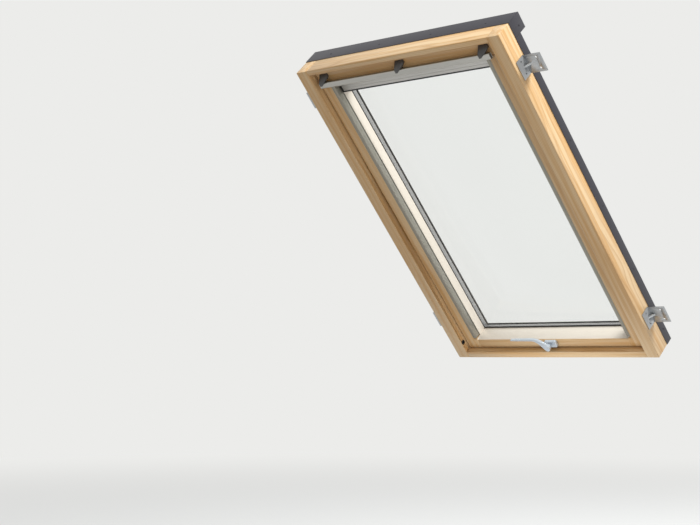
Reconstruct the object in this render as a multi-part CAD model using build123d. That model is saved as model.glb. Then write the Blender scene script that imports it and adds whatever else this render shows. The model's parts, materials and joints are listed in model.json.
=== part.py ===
import os

from build123d import *

# Roof window for a pitched roof: pine frame, top-hung sash on hinge arms that
# also turns about its middle for cleaning, ventilation flap with control bar,
# bottom lever with sliding cams, and a slim roller blind in the sash.
#
# The pieces are drawn upright and then leaned back to the roof pitch:
# X runs across the window, Y points out of the building, Z runs up the slope.
# Y = 0 is the room face of the frame and Z = 0 is the middle of its height.

# Driving dimensions, in millimetres and degrees
WIDTH = 780.0
HEIGHT = 1180.0
ROOF_PITCH = 48.0
ROOF_PLANE = 50.0

# Frame timber
JAMB_WIDTH = 43.0
FRAME_DEPTH = 88.0
HEAD_HEIGHT = 17.0
SILL_HEIGHT = 23.0
FRAME_EDGE_ROUND = 2.0
LINER_DEPTH = 26.0
LINER_THICKNESS = 2.0

# Sash timber
SASH_SETBACK = 22.0
SASH_GAP = 5.0
SASH_TOP_GAP = 3.0
STILE_FACE = 35.0
STILE_DEPTH = 57.0
STILE_LIP_DEPTH = 36.0
STILE_SIDE_STEP = 9.0
STILE_TOP_DEPTH = 18.0
BOTTOM_RAIL_FACE = 29.0
BOTTOM_RAIL_RISE = 14.0
TOP_RAIL_HEIGHT = 34.0
TOP_RAIL_NOSE = 3.0
GLASS_LEG_DEPTH = 21.0
GLASS_LEG_INSET = 16.0
SASH_EDGE_ROUND = 1.5

# Glazing
PANE_THICKNESS = 4.0
PANE_CAVITY = 16.0
GLASS_EDGE_CLEARANCE = 2.0
GLAZING_SEAL_THICKNESS = 2.0
GLAZING_SEAL_WIDTH = 10.0
SPACER_WIDTH = 8.0
SASH_SEAL_WIDTH = 6.0
SASH_SEAL_SIDE_CLEARANCE = 0.6
SASH_SEAL_DROP = 2.5

# Ventilation flap, its hinge line and the control bar
FLAP_HEIGHT = 47.0
FLAP_THICKNESS = 18.0
FLAP_END_CLEARANCE = 2.0
FLAP_RAIL_GAP = 3.0
FLAP_KNUCKLE_RADIUS = 2.2
FLAP_PIN_RADIUS = 1.2
FLAP_AXIS_INSET = 3.0
FLAP_AXIS_DROP = 2.5
FLAP_HINGE_LENGTH = 50.0
FLAP_LEAF_THICKNESS = 1.2
FLAP_HINGE_SPACING = 250.0
BAR_LENGTH = 656.0
BAR_HEIGHT = 19.6
BAR_DEPTH = 12.0
BAR_WALL = 1.6
BAR_STANDOFF = 8.0
BAR_ABOVE_FLAP_FOOT = -4.0
BAR_ROUND = 4.0
BAR_BRACKET_WIDTH = 30.0
BAR_BRACKET_TIP = 11.0
FILTER_HEIGHT = 24.0
FILTER_DEPTH = 11.0

# Blind
CHANNEL_WIDTH = 13.0
CHANNEL_DEPTH = 24.0
CHANNEL_SLOT = 3.0
CHANNEL_SLOT_DEPTH = 8.0
CASSETTE_DEPTH = 22.0
CASSETTE_WALL = 1.4
CASSETTE_END_CLEARANCE = 0.5
BLIND_ROLL_RADIUS = 7.5
PULL_BAR_HEIGHT = 24.0
PULL_BAR_ABOVE_DAY = 12.0
CASSETTE_FOOT_GAP = 1.0
PULL_BAR_DEPTH = 12.0
PULL_BAR_CAP = 7.0
PULL_BAR_LIP = 3.0

# Weather covers
COVER_THICKNESS = 1.5
COVER_SKIRT = 28.0
CLADDING_LAP = 38.0
CLADDING_LEG = 16.0
CLADDING_SIDE_OFFSET = 3.0
CLADDING_DRIP = 16.0
ARM_COVER_WIDTH = 17.0
ARM_COVER_RISE = 3.0
ARM_COVER_LEG = 11.5
WIDE_CLADDING_LAP = 10.0
WIDE_CLADDING_START = 300.0
HOOD_SHOULDER = 15.0

# Top hinge, arms and middle pivot
HINGE_ABOVE_HEAD_FACE = 2.0
HINGE_ABOVE_FRAME = 14.0
HINGE_PIN_RADIUS = 5.0
HINGE_EYE_RADIUS = 10.5
HINGE_EAR_THICKNESS = 4.0
HINGE_LEAF_THICKNESS = 3.0
HINGE_LEAF_WIDTH = 36.0
HINGE_LEAF_HEIGHT = 44.0
PIVOT_HEIGHT = 6.0
PIVOT_DEPTH = 80.0
PIVOT_PIN_RADIUS = 7.0
PIN_CLEARANCE = 0.05
ARM_THICKNESS = 5.0
ARM_WIDTH = 22.0
ARM_TO_JAMB = 4.0
PIVOT_DISC_RADIUS = 15.0
PIVOT_BLOCK_THICKNESS = 3.0
ROLL_COVER_RADIUS = 14.0
ROLL_COVER_THICKNESS = 2.0
ROLL_COVER_DROP = 84.0
HOOD_CLEARANCE = 1.0
HOOD_SKIRT_LIFT = 7.0
CROSS_RAIL_DEPTH = 32.0
CROSS_RAIL_HEIGHT = 26.0
CROSS_RAIL_WALL = 2.5

# Bottom lever, sliding rod and keeps
LEVER_AXIS_ABOVE_SASH_FOOT = 16.0
LEVER_BASE_WIDTH = 54.0
LEVER_BASE_HEIGHT = 25.0
LEVER_BASE_DEPTH = 10.0
LEVER_BASE_OFFSET = 7.0
LEVER_HUB_RADIUS = 9.5
LEVER_HUB_DEPTH = 22.0
LEVER_GRIP_REACH = 112.0
LEVER_GRIP_RISE = 41.0
LEVER_CRANK_REACH = 24.0
LEVER_WIDTH = 12.0
LEVER_THICKNESS = 8.0
LEVER_BEND_RADIUS = 20.0
CAM_SPACING = 330.0
CAM_NECK_RADIUS = 3.5
CAM_HEAD_RADIUS = 5.5
CAM_HEAD_THICKNESS = 3.0
CAM_THROW = 16.0
ROD_HEIGHT = 3.0
ROD_WIDTH = 10.0
FACEPLATE_WIDTH = 18.0
FACEPLATE_THICKNESS = 1.5
KEEP_THICKNESS = 2.5
KEEP_LENGTH = 62.0
KEEP_SLOT_CLEARANCE = 1.2

# Latch in the sash head and barrel bolt in its left end
LATCH_WIDTH = 18.0
LATCH_THICKNESS = 6.0
LATCH_THROW = 12.0
LATCH_HOUSING_WIDTH = 44.0
LATCH_HOUSING_DEPTH = 14.0
LATCH_HOUSING_HEIGHT = 16.0
LATCH_HOUSING_SINK = 13.0
LATCH_ENGAGEMENT = 11.0
BOLT_RADIUS = 4.0
BOLT_LENGTH = 34.0
BOLT_THROW = 14.0
BOLT_KNOB_PLACE = 22.5
BOLT_CLEARANCE = 0.3
BUSH_RADIUS = 7.0
BUSH_FLANGE_RADIUS = 8.5
BUSH_FLANGE_THICKNESS = 1.5
BUSH_LENGTH = 14.0
BUSH_DEPTH = 9.5
BUSH_ABOVE_SILL = 37.0

# Roof brackets and screws
BRACKET_THICKNESS = 2.5
BRACKET_LENGTH = 60.0
BRACKET_FLANGE = 60.0
BRACKET_LEG = 36.0
BRACKET_FROM_END = 130.0
BRACKET_HOLE_SPACING = 36.0
BRACKET_HOLE_RADIUS = 3.5
BRACKET_HOLE_INSET = 18.0
SCREW_HEAD_RADIUS = 4.0
SCREW_HEAD_HEIGHT = 1.8
SCREW_SHANK_RADIUS = 2.0

# Places worked out from the driving dimensions
HALF_W = WIDTH / 2
HALF_H = HEIGHT / 2
X_JAMB = HALF_W - JAMB_WIDTH
X_SASH = X_JAMB - SASH_GAP
X_CHANNEL = X_SASH - STILE_FACE
X_DAY = X_CHANNEL - CHANNEL_WIDTH
X_SIDE = X_SASH - STILE_SIDE_STEP
X_LEG = X_DAY + GLASS_LEG_INSET + GLASS_EDGE_CLEARANCE
X_GLASS = X_LEG - GLASS_EDGE_CLEARANCE
Z_HEAD = HALF_H - HEAD_HEIGHT
Z_HOOD_FOOT = HALF_H - HINGE_LEAF_HEIGHT - 6.0
Z_SILL = -HALF_H + SILL_HEIGHT
Z_TOP = Z_HEAD - SASH_TOP_GAP
Z_FOOT = Z_SILL + SASH_GAP
Z_FLAP = Z_TOP - FLAP_HEIGHT
Z_RAIL_TOP = Z_FLAP - FLAP_RAIL_GAP
Z_DAY_TOP = Z_RAIL_TOP - TOP_RAIL_HEIGHT
Z_RAIL_FACE = Z_FOOT + BOTTOM_RAIL_FACE
Z_DAY_FOOT = Z_RAIL_FACE + BOTTOM_RAIL_RISE
Y_FACE = SASH_SETBACK
Y_LIP = Y_FACE + STILE_LIP_DEPTH
Y_SHOULDER = Y_FACE + STILE_DEPTH
Y_LEG = Y_SHOULDER + GLASS_LEG_DEPTH
Y_UNIT = Y_SHOULDER + GLAZING_SEAL_THICKNESS
Y_UNIT_OUT = Y_UNIT + 2 * PANE_THICKNESS + PANE_CAVITY
Y_CLAD = Y_UNIT_OUT + GLAZING_SEAL_THICKNESS
Y_FLAP_BACK = Y_FACE + FLAP_THICKNESS
Y_STILE_TOP = Y_FLAP_BACK + 2.0
Z_GLASS_FOOT = Z_DAY_FOOT - GLASS_LEG_INSET
Z_GLASS_TOP = Z_DAY_TOP + GLASS_LEG_INSET
HINGE_Y = FRAME_DEPTH + HINGE_ABOVE_FRAME
HINGE_Z = Z_HEAD + HINGE_ABOVE_HEAD_FACE
X_ARM_OUT = X_JAMB - ARM_TO_JAMB
X_ARM_IN = X_ARM_OUT - ARM_THICKNESS
Y_ARM = PIVOT_DEPTH - 2.0
Y_ROLL_OUT = HINGE_Y + ROLL_COVER_RADIUS
Y_HOOD = Y_ROLL_OUT + HOOD_CLEARANCE
Z_BAR = Z_FLAP + BAR_ABOVE_FLAP_FOOT
Y_BAR_BACK = Y_FACE - BAR_STANDOFF
Y_BAR = Y_BAR_BACK - BAR_DEPTH
Y_PULL = Y_FACE + CHANNEL_DEPTH - 4.0
Z_CASSETTE_TOP = Z_RAIL_TOP - TOP_RAIL_NOSE
Y_CASSETTE = Y_STILE_TOP - 4.0
Z_PULL_TOP = Z_DAY_TOP + PULL_BAR_ABOVE_DAY
Z_LEVER = Z_FOOT + LEVER_AXIS_ABOVE_SASH_FOOT
Y_ROD = Y_FACE + 26.0
Y_LATCH = Y_SHOULDER - 4.0
FLAP_AXIS_Y = Y_FACE + FLAP_AXIS_INSET
FLAP_AXIS_Z = Z_FLAP - FLAP_AXIS_DROP
Z_STILE_STEP = Z_FLAP - 2.2
Z_BUSH = Z_SILL + BUSH_ABOVE_SILL
EDGE_GAP = 0.3


# Helpers
def outline(points, rounds=()):
    """Closed flat outline with chosen corners rounded."""
    face = Polygon(*points, align=None)
    for corner, radius in rounds:
        nearest = face.vertices().sort_by_distance((corner[0], corner[1], 0))[0]
        face = fillet(nearest, radius)
    return face


def along_z(face, z0, z1):
    """Outline in X and Y, run up the slope."""
    return extrude(Pos(0, 0, z0) * face, z1 - z0, dir=(0, 0, 1))


def along_x(face, x0, x1):
    """Outline in Y and Z, run across the window."""
    return extrude(Plane.YZ.offset(x0) * face, x1 - x0, dir=(1, 0, 0))


def along_y(face, y0, y1):
    """Outline in X and Z, run out of the building."""
    return extrude(Plane.XZ.offset(-y0) * face, y1 - y0, dir=(0, 1, 0))


def block(x, y, z):
    """Box between pairs of X, Y and Z values."""
    size = Box(x[1] - x[0], y[1] - y[0], z[1] - z[0])
    return Pos((x[0] + x[1]) / 2, (y[0] + y[1]) / 2, (z[0] + z[1]) / 2) * size


def rod_x(radius, y, z, x0, x1):
    return Pos((x0 + x1) / 2, y, z) * Rot(0, 90, 0) * Cylinder(radius, x1 - x0)


def rod_y(radius, x, z, y0, y1):
    return Pos(x, (y0 + y1) / 2, z) * Rot(90, 0, 0) * Cylinder(radius, y1 - y0)


def rod_z(radius, x, y, z0, z1):
    return Pos(x, y, (z0 + z1) / 2) * Cylinder(radius, z1 - z0)


def other_side(shape):
    """Mirror image on the right of the window."""
    return mirror(shape, about=Plane.YZ)


def pair(shape):
    return shape + other_side(shape)


def ring(half_width, low, high, band, y0, y1):
    """Rectangular hoop lying in the plane of the window."""
    outer = block((-half_width, half_width), (y0, y1), (low, high))
    inner_x = (-half_width + band, half_width - band)
    return outer - block(inner_x, (y0 - 1, y1 + 1), (low + band, high - band))


# Frame
def frame_jamb():
    """Left jamb with a rebate for its liner."""
    face = outline(
        [
            (-HALF_W, 0),
            (-X_JAMB, 0),
            (-X_JAMB, FRAME_DEPTH - LINER_DEPTH),
            (-X_JAMB - LINER_THICKNESS, FRAME_DEPTH - LINER_DEPTH),
            (-X_JAMB - LINER_THICKNESS, FRAME_DEPTH),
            (-HALF_W, FRAME_DEPTH),
        ],
        [((-X_JAMB, 0), FRAME_EDGE_ROUND), ((-HALF_W, 0), FRAME_EDGE_ROUND)],
    )
    return along_z(face, -HALF_H, HALF_H)


def frame_head():
    face = outline(
        [(0, Z_HEAD), (FRAME_DEPTH, Z_HEAD), (FRAME_DEPTH, HALF_H), (0, HALF_H)],
        [((0, Z_HEAD), FRAME_EDGE_ROUND)],
    )
    return along_x(face, -X_JAMB, X_JAMB)


def keep_centres():
    return [-CAM_SPACING / 2, CAM_SPACING / 2]


def frame_sill():
    """Sill with the pockets that let the cams in from outside."""
    face = outline(
        [(0, -HALF_H), (FRAME_DEPTH, -HALF_H), (FRAME_DEPTH, Z_SILL), (0, Z_SILL)],
        [((0, Z_SILL), FRAME_EDGE_ROUND)],
    )
    sill = along_x(face, -X_JAMB, X_JAMB)
    for centre in keep_centres():
        sill -= keep_recess(centre)
        sill -= cam_pocket(centre)
    return sill


def keep_recess(centre):
    half = KEEP_LENGTH / 2
    middle = centre + CAM_THROW / 2
    y0 = Y_ROD - KEEP_LENGTH / 4
    return block((middle - half, middle + half), (y0, FRAME_DEPTH), (Z_SILL - KEEP_THICKNESS, Z_SILL))


def cam_pocket(centre):
    """Room under a keep for a cam's head, open to the outside."""
    side = CAM_HEAD_RADIUS + 2 * KEEP_SLOT_CLEARANCE
    top = Z_SILL - KEEP_THICKNESS
    depth = CAM_HEAD_THICKNESS + 5.0
    return block((centre - side, centre + CAM_THROW + side), (Y_ROD - side, FRAME_DEPTH), (top - depth, top))


def sill_keep(centre):
    """Plate with an L-shaped slot: the cam enters from outside and slides aside."""
    neck = CAM_NECK_RADIUS + KEEP_SLOT_CLEARANCE
    half = KEEP_LENGTH / 2
    middle = centre + CAM_THROW / 2
    z = (Z_SILL - KEEP_THICKNESS, Z_SILL)
    y0 = Y_ROD - KEEP_LENGTH / 4
    plate = block((middle - half, middle + half), (y0, FRAME_DEPTH), z)
    entry = block((centre - neck, centre + neck), (Y_ROD, FRAME_DEPTH), z)
    branch = block((centre, centre + CAM_THROW), (Y_ROD - neck, Y_ROD + neck), z)
    plate -= entry + branch
    for x in (centre, centre + CAM_THROW):
        plate -= rod_z(neck, x, Y_ROD, z[0], z[1])
    return plate


def jamb_liner():
    y0 = FRAME_DEPTH - LINER_DEPTH
    return block((-X_JAMB - LINER_THICKNESS, -X_JAMB), (y0, FRAME_DEPTH), (Z_SILL, Z_HEAD))


def bolt_bush():
    """Flanged bush in the left jamb that takes the barrel bolt."""
    hole = rod_x(BOLT_RADIUS + BOLT_CLEARANCE, BUSH_DEPTH, Z_BUSH, -X_JAMB - BUSH_LENGTH + 2, -X_JAMB)
    return bush_blank() - hole


def bush_blank():
    body = rod_x(BUSH_RADIUS, BUSH_DEPTH, Z_BUSH, -X_JAMB - BUSH_LENGTH, -X_JAMB)
    return body + rod_x(BUSH_FLANGE_RADIUS, BUSH_DEPTH, Z_BUSH, -X_JAMB - BUSH_FLANGE_THICKNESS, -X_JAMB)


def bolt_rest_hole():
    """Hole high in the jamb that takes the bolt while the window is shut."""
    y, z = bolt_place()
    return rod_x(BOLT_RADIUS + 2 * BOLT_CLEARANCE, y, z, -X_JAMB - BUSH_LENGTH, -X_JAMB)


def frame_cover_side():
    """Folded cover over the left jamb's outer corner."""
    outer = -HALF_W - COVER_THICKNESS
    top = FRAME_DEPTH + COVER_THICKNESS
    face = outline(
        [
            (outer, FRAME_DEPTH - COVER_SKIRT),
            (-HALF_W, FRAME_DEPTH - COVER_SKIRT),
            (-HALF_W, FRAME_DEPTH),
            (-X_JAMB, FRAME_DEPTH),
            (-X_JAMB, top),
            (outer, top),
        ],
        [((outer, top), 1.2)],
    )
    return along_z(face, -HALF_H, Z_HOOD_FOOT)


def frame_cover_bottom():
    low = -HALF_H - COVER_THICKNESS
    top = FRAME_DEPTH + COVER_THICKNESS
    face = outline(
        [
            (FRAME_DEPTH - COVER_SKIRT, low),
            (top, low),
            (top, Z_SILL - 6.0),
            (FRAME_DEPTH, Z_SILL - 6.0),
            (FRAME_DEPTH, -HALF_H),
            (FRAME_DEPTH - COVER_SKIRT, -HALF_H),
        ],
        [((top, low), 1.2)],
    )
    plate = along_x(face, -X_JAMB, X_JAMB)
    for centre in keep_centres():
        plate -= cam_pocket(centre).moved(Location((0, FRAME_DEPTH - Y_ROD, 0)))
    return plate


def hood():
    """Folded top cover above the hinge line."""
    top = HALF_H + COVER_THICKNESS
    front = Y_HOOD + COVER_THICKNESS
    back = FRAME_DEPTH - COVER_SKIRT
    face = outline(
        [
            (back, HALF_H),
            (Y_HOOD, HALF_H),
            (Y_HOOD, HINGE_Z + HOOD_SKIRT_LIFT),
            (front, HINGE_Z + HOOD_SKIRT_LIFT),
            (front, top),
            (back, top),
        ],
        [((front, top), 3.0)],
    )
    outer = HALF_W + COVER_THICKNESS
    return along_x(face, -outer, outer)


def hood_end():
    """Cover for the top of the left jamb, under the end of the hood."""
    outer = -HALF_W - COVER_THICKNESS
    front = Y_HOOD + COVER_THICKNESS
    z = (Z_HOOD_FOOT + EDGE_GAP, HINGE_Z + HOOD_SKIRT_LIFT)
    cheek = block((outer, -HALF_W), (FRAME_DEPTH - COVER_SKIRT, front), z)
    upper = block((outer, -HALF_W), (FRAME_DEPTH - COVER_SKIRT, Y_HOOD), (z[1], HALF_H))
    shoulder = block((outer, -X_JAMB - HOOD_SHOULDER), (Y_HOOD, front), z)
    return cheek + upper + shoulder


def hinge_bracket():
    """Left hinge leaf on the jamb's outer face with its upright ear."""
    leaf_top = HALF_H - 1.0
    leaf = block(
        (-X_JAMB - HINGE_LEAF_WIDTH, -X_JAMB),
        (FRAME_DEPTH, FRAME_DEPTH + HINGE_LEAF_THICKNESS),
        (leaf_top - HINGE_LEAF_HEIGHT, leaf_top),
    )
    eye = Pos(HINGE_Y, HINGE_Z) * Circle(HINGE_EYE_RADIUS)
    root = Polygon(
        (FRAME_DEPTH, HINGE_Z - HINGE_EYE_RADIUS - 4),
        (HINGE_Y, HINGE_Z - HINGE_EYE_RADIUS),
        (HINGE_Y, HINGE_Z + HINGE_EYE_RADIUS),
        (FRAME_DEPTH, HINGE_Z + HINGE_EYE_RADIUS),
        align=None,
    )
    ear = along_x(eye + root, -X_JAMB - HINGE_EAR_THICKNESS, -X_JAMB)
    hole = rod_x(HINGE_PIN_RADIUS, HINGE_Y, HINGE_Z, -X_JAMB - HINGE_EAR_THICKNESS, -X_JAMB)
    return leaf + ear - hole


def bracket_centre(end):
    """Height of a roof bracket, for the top end (1) or the bottom end (-1)."""
    return end * (HALF_H - BRACKET_FROM_END)


def roof_bracket(end):
    """Angle on the left jamb: its flange rests on the roof and is screwed down."""
    z = bracket_centre(end)
    half = BRACKET_LENGTH / 2
    leg_x = (-HALF_W - BRACKET_THICKNESS, -HALF_W)
    seat_y = (ROOF_PLANE, ROOF_PLANE + BRACKET_THICKNESS)
    leg = block(leg_x, (ROOF_PLANE - BRACKET_LEG, seat_y[1]), (z - half, z + half))
    flange = block((-HALF_W - BRACKET_FLANGE, -HALF_W), seat_y, (z - half, z + half))
    rib = outline(
        [
            (leg_x[0], seat_y[1]),
            (leg_x[0] - BRACKET_LEG / 2, seat_y[1]),
            (leg_x[0], seat_y[1] - BRACKET_LEG / 2),
        ]
    )
    gusset = along_z(rib, z - BRACKET_THICKNESS, z + BRACKET_THICKNESS)
    bracket = leg + flange + gusset
    for dz in (-BRACKET_HOLE_SPACING / 2, BRACKET_HOLE_SPACING / 2):
        bracket -= rod_y(
            BRACKET_HOLE_RADIUS,
            -HALF_W - BRACKET_FLANGE + BRACKET_HOLE_INSET,
            z + dz,
            ROOF_PLANE,
            ROOF_PLANE + BRACKET_THICKNESS,
        )
    return bracket


def side_screw(y, z):
    """Screw head on a bracket's leg, left side."""
    x = -HALF_W - BRACKET_THICKNESS
    return rod_x(SCREW_HEAD_RADIUS, y, z, x - SCREW_HEAD_HEIGHT, x)


def face_screw(x, y, z):
    """Screw head on a plate that faces out of the building."""
    return rod_y(SCREW_HEAD_RADIUS, x, z, y, y + SCREW_HEAD_HEIGHT)


def frame_screws():
    heads = []
    for end in (-1, 1):
        z = bracket_centre(end)
        for dz in (-BRACKET_LENGTH / 3, BRACKET_LENGTH / 3):
            heads.append(side_screw(ROOF_PLANE - BRACKET_LEG / 2, z + dz))
    leaf_y = FRAME_DEPTH + HINGE_LEAF_THICKNESS
    leaf_top = HALF_H - 1.0
    for dz in (HINGE_LEAF_HEIGHT * 0.25, HINGE_LEAF_HEIGHT * 0.75):
        heads.append(face_screw(-X_JAMB - HINGE_LEAF_WIDTH * 0.7, leaf_y, leaf_top - dz))
    group = heads[0]
    for head in heads[1:]:
        group += head
    return pair(group)


# Hinge arms
def arm_outline():
    body = Polygon(
        (Y_ARM, PIVOT_HEIGHT),
        (Y_ARM + ARM_WIDTH, PIVOT_HEIGHT),
        (Y_ARM + ARM_WIDTH, HINGE_Z - 3 * HINGE_EYE_RADIUS),
        (HINGE_Y + HINGE_EYE_RADIUS, HINGE_Z),
        (HINGE_Y - HINGE_EYE_RADIUS, HINGE_Z),
        (Y_ARM, HINGE_Z - 3 * HINGE_EYE_RADIUS),
        align=None,
    )
    eye = Pos(HINGE_Y, HINGE_Z) * Circle(HINGE_EYE_RADIUS)
    disc = Pos(PIVOT_DEPTH, PIVOT_HEIGHT) * Circle(PIVOT_DISC_RADIUS)
    holes = Pos(HINGE_Y, HINGE_Z) * Circle(HINGE_PIN_RADIUS)
    holes += Pos(PIVOT_DEPTH, PIVOT_HEIGHT) * Circle(PIVOT_PIN_RADIUS)
    return body + eye + disc - holes


def hinge_arm():
    return along_x(arm_outline(), -X_ARM_OUT, -X_ARM_IN)


def hinge_pin():
    """Left top pin with its collar, fixed in the arm and turning in the ear."""
    radius = HINGE_PIN_RADIUS - PIN_CLEARANCE
    x_end = -X_JAMB - HINGE_EAR_THICKNESS - 1.0
    pin = rod_x(radius, HINGE_Y, HINGE_Z, x_end, -X_ARM_IN + 1.5)
    collar = rod_x(1.5 * HINGE_PIN_RADIUS, HINGE_Y, HINGE_Z, -X_JAMB + EDGE_GAP, -X_ARM_OUT)
    return pin + collar


def pivot_block():
    """Moulded block on the left arm around the middle pivot."""
    low = PIVOT_HEIGHT - PIVOT_DISC_RADIUS - 5
    high = PIVOT_HEIGHT + PIVOT_DISC_RADIUS + 5
    body = RectangleRounded(PIVOT_DISC_RADIUS * 2 + 6, high - low, 8)
    face = Pos(PIVOT_DEPTH, PIVOT_HEIGHT) * (body - Circle(PIVOT_PIN_RADIUS))
    return along_x(face, -X_ARM_OUT - PIVOT_BLOCK_THICKNESS, -X_ARM_OUT)


def cross_rail_places():
    y0 = HINGE_Y - 4.0 - CROSS_RAIL_DEPTH
    z1 = HINGE_Z - HINGE_EYE_RADIUS + 1.5
    return (y0, y0 + CROSS_RAIL_DEPTH), (z1 - CROSS_RAIL_HEIGHT, z1)


def cross_rail():
    """Channel that ties both arms together, open at its foot."""
    y, z = cross_rail_places()
    rail = block((-X_ARM_IN, X_ARM_IN), y, z)
    inner_y = (y[0] + CROSS_RAIL_WALL, y[1] - CROSS_RAIL_WALL)
    return rail - block((-X_ARM_IN, X_ARM_IN), inner_y, (z[0], z[1] - CROSS_RAIL_WALL))


def latch_keep():
    """Slotted plate in the foot of the cross rail for the head latch."""
    y, z = cross_rail_places()
    inner_y = (y[0] + CROSS_RAIL_WALL, y[1] - CROSS_RAIL_WALL)
    half = LATCH_HOUSING_WIDTH / 2
    plate = block((-half, half), inner_y, (z[0], z[0] + CROSS_RAIL_WALL))
    slot_x = LATCH_WIDTH / 2 + 1.0
    slot_y = (Y_LATCH - LATCH_THICKNESS / 2 - 0.6, Y_LATCH + LATCH_THICKNESS / 2 + 0.6)
    return plate - block((-slot_x, slot_x), slot_y, (z[0], z[0] + CROSS_RAIL_WALL))


def arm_cover():
    """Folded cover on the left arm, over the edge of the jamb."""
    outer = -X_ARM_OUT - ARM_COVER_WIDTH
    t = COVER_THICKNESS
    top = Y_ARM + ARM_WIDTH + ARM_COVER_RISE
    foot = top - ARM_COVER_LEG
    face = outline(
        [
            (-X_ARM_OUT, top),
            (-X_ARM_OUT, foot),
            (-X_ARM_OUT - t, foot),
            (-X_ARM_OUT - t, top - t),
            (outer + t, top - t),
            (outer + t, foot),
            (outer, foot),
            (outer, top),
        ],
        [((outer, top), 2.0)],
    )
    foot_z = PIVOT_HEIGHT + PIVOT_DISC_RADIUS + 6.0
    folded = along_z(face, foot_z, HINGE_Z - 3 * HINGE_EYE_RADIUS - 1.0)
    inner = -X_SIDE - CLADDING_SIDE_OFFSET - 1.0
    lip = block((-X_ARM_OUT, inner), (top - t, top), (foot_z, HINGE_Z - ROLL_COVER_DROP - EDGE_GAP))
    return folded + lip


def roll_cover():
    """Cover across the arms whose upper edge rolls round the hinge line."""
    inner = ROLL_COVER_RADIUS - ROLL_COVER_THICKNESS
    rolled = Circle(ROLL_COVER_RADIUS) - Circle(inner)
    half = ROLL_COVER_RADIUS + 1
    rolled &= Pos(half - 3, half) * Rectangle(2 * half, 2 * half)
    plate = Polygon(
        (inner, 0),
        (inner, -ROLL_COVER_DROP),
        (ROLL_COVER_RADIUS, -ROLL_COVER_DROP),
        (ROLL_COVER_RADIUS, 0),
        align=None,
    )
    cover = along_x(Pos(HINGE_Y, HINGE_Z) * (rolled + plate), -X_ARM_OUT, X_ARM_OUT)
    foot = HINGE_Z - ROLL_COVER_DROP
    pad_z = (foot, foot + ROLL_COVER_DROP / 2)
    pad = block((-X_ARM_OUT, -X_ARM_IN), (Y_ARM + ARM_WIDTH, HINGE_Y + inner), pad_z)
    return cover + pair(pad)


# Sash
def stile_outline():
    return outline(
        [
            (-X_SASH, Y_FACE),
            (-X_DAY, Y_FACE),
            (-X_DAY, Y_SHOULDER),
            (-X_LEG, Y_SHOULDER),
            (-X_LEG, Y_LEG),
            (-X_SIDE, Y_LEG),
            (-X_SIDE, Y_LIP),
            (-X_SASH, Y_LIP),
        ],
        [((-X_SASH, Y_FACE), SASH_EDGE_ROUND), ((-X_DAY, Y_SHOULDER), SASH_EDGE_ROUND)],
    )


def channel_notch():
    """Rebate for the blind's side channel, with a rounded lower end."""
    foot = Z_RAIL_FACE + 4.0
    face = outline(
        [(-X_CHANNEL, foot), (-X_DAY + 1, foot), (-X_DAY + 1, Z_TOP + 1), (-X_CHANNEL, Z_TOP + 1)],
        [((-X_CHANNEL, foot), 6.0)],
    )
    return along_y(face, Y_FACE - 1, Y_FACE + CHANNEL_DEPTH)


def sash_stile():
    """Left stile: full section beside the glass, and a thin tongue behind the flap."""
    stile = along_z(stile_outline(), Z_FOOT, Z_TOP)
    stile -= channel_notch()
    above = (Z_RAIL_TOP + 2.0, Z_TOP + 1)
    across = (-X_SASH - 1, -X_DAY + 1)
    stile -= block(across, (Y_FACE - 1, Y_STILE_TOP), (Z_STILE_STEP, Z_TOP + 1))
    stile -= block(across, (Y_STILE_TOP + STILE_TOP_DEPTH, Y_LEG + 1), above)
    stile -= rod_x(PIVOT_PIN_RADIUS, PIVOT_DEPTH, PIVOT_HEIGHT, -X_SIDE - 1, -X_LEG - 4)
    return stile


def bolt_place():
    """Bolt centre that meets the bush when the sash is turned right over."""
    reach = ((BUSH_DEPTH - PIVOT_DEPTH) ** 2 + (Z_BUSH - PIVOT_HEIGHT) ** 2) ** 0.5
    y = Y_STILE_TOP + STILE_TOP_DEPTH / 2 - 1.0
    z = PIVOT_HEIGHT + (reach**2 - (y - PIVOT_DEPTH) ** 2) ** 0.5
    return y, z


def bolt_housing_box():
    y, z = bolt_place()
    half = BOLT_RADIUS + 3.5
    x = (-X_SASH, -X_SASH + BOLT_LENGTH + 3)
    return x, (y - half, Y_STILE_TOP + STILE_TOP_DEPTH), (z - half, z + half)


def bolt_housing():
    x, y, z = bolt_housing_box()
    by, bz = bolt_place()
    body = block(x, y, z) - rod_x(BOLT_RADIUS + BOLT_CLEARANCE, by, bz, x[0], x[1] - 1.5)
    slot_x = (x[0] + BOLT_KNOB_PLACE - BOLT_THROW - 3.0, x[0] + BOLT_KNOB_PLACE + 3.0)
    return body - block(slot_x, (by, y[1]), (bz - 2.6, bz + 2.6))


def barrel_bolt():
    x, y, z = bolt_housing_box()
    by, bz = bolt_place()
    shaft = rod_x(BOLT_RADIUS, by, bz, x[0] + EDGE_GAP, x[0] + BOLT_LENGTH - 2.0)
    knob = rod_y(2.2, x[0] + BOLT_KNOB_PLACE, bz, by, y[1] + 3.0)
    return shaft + knob


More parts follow.
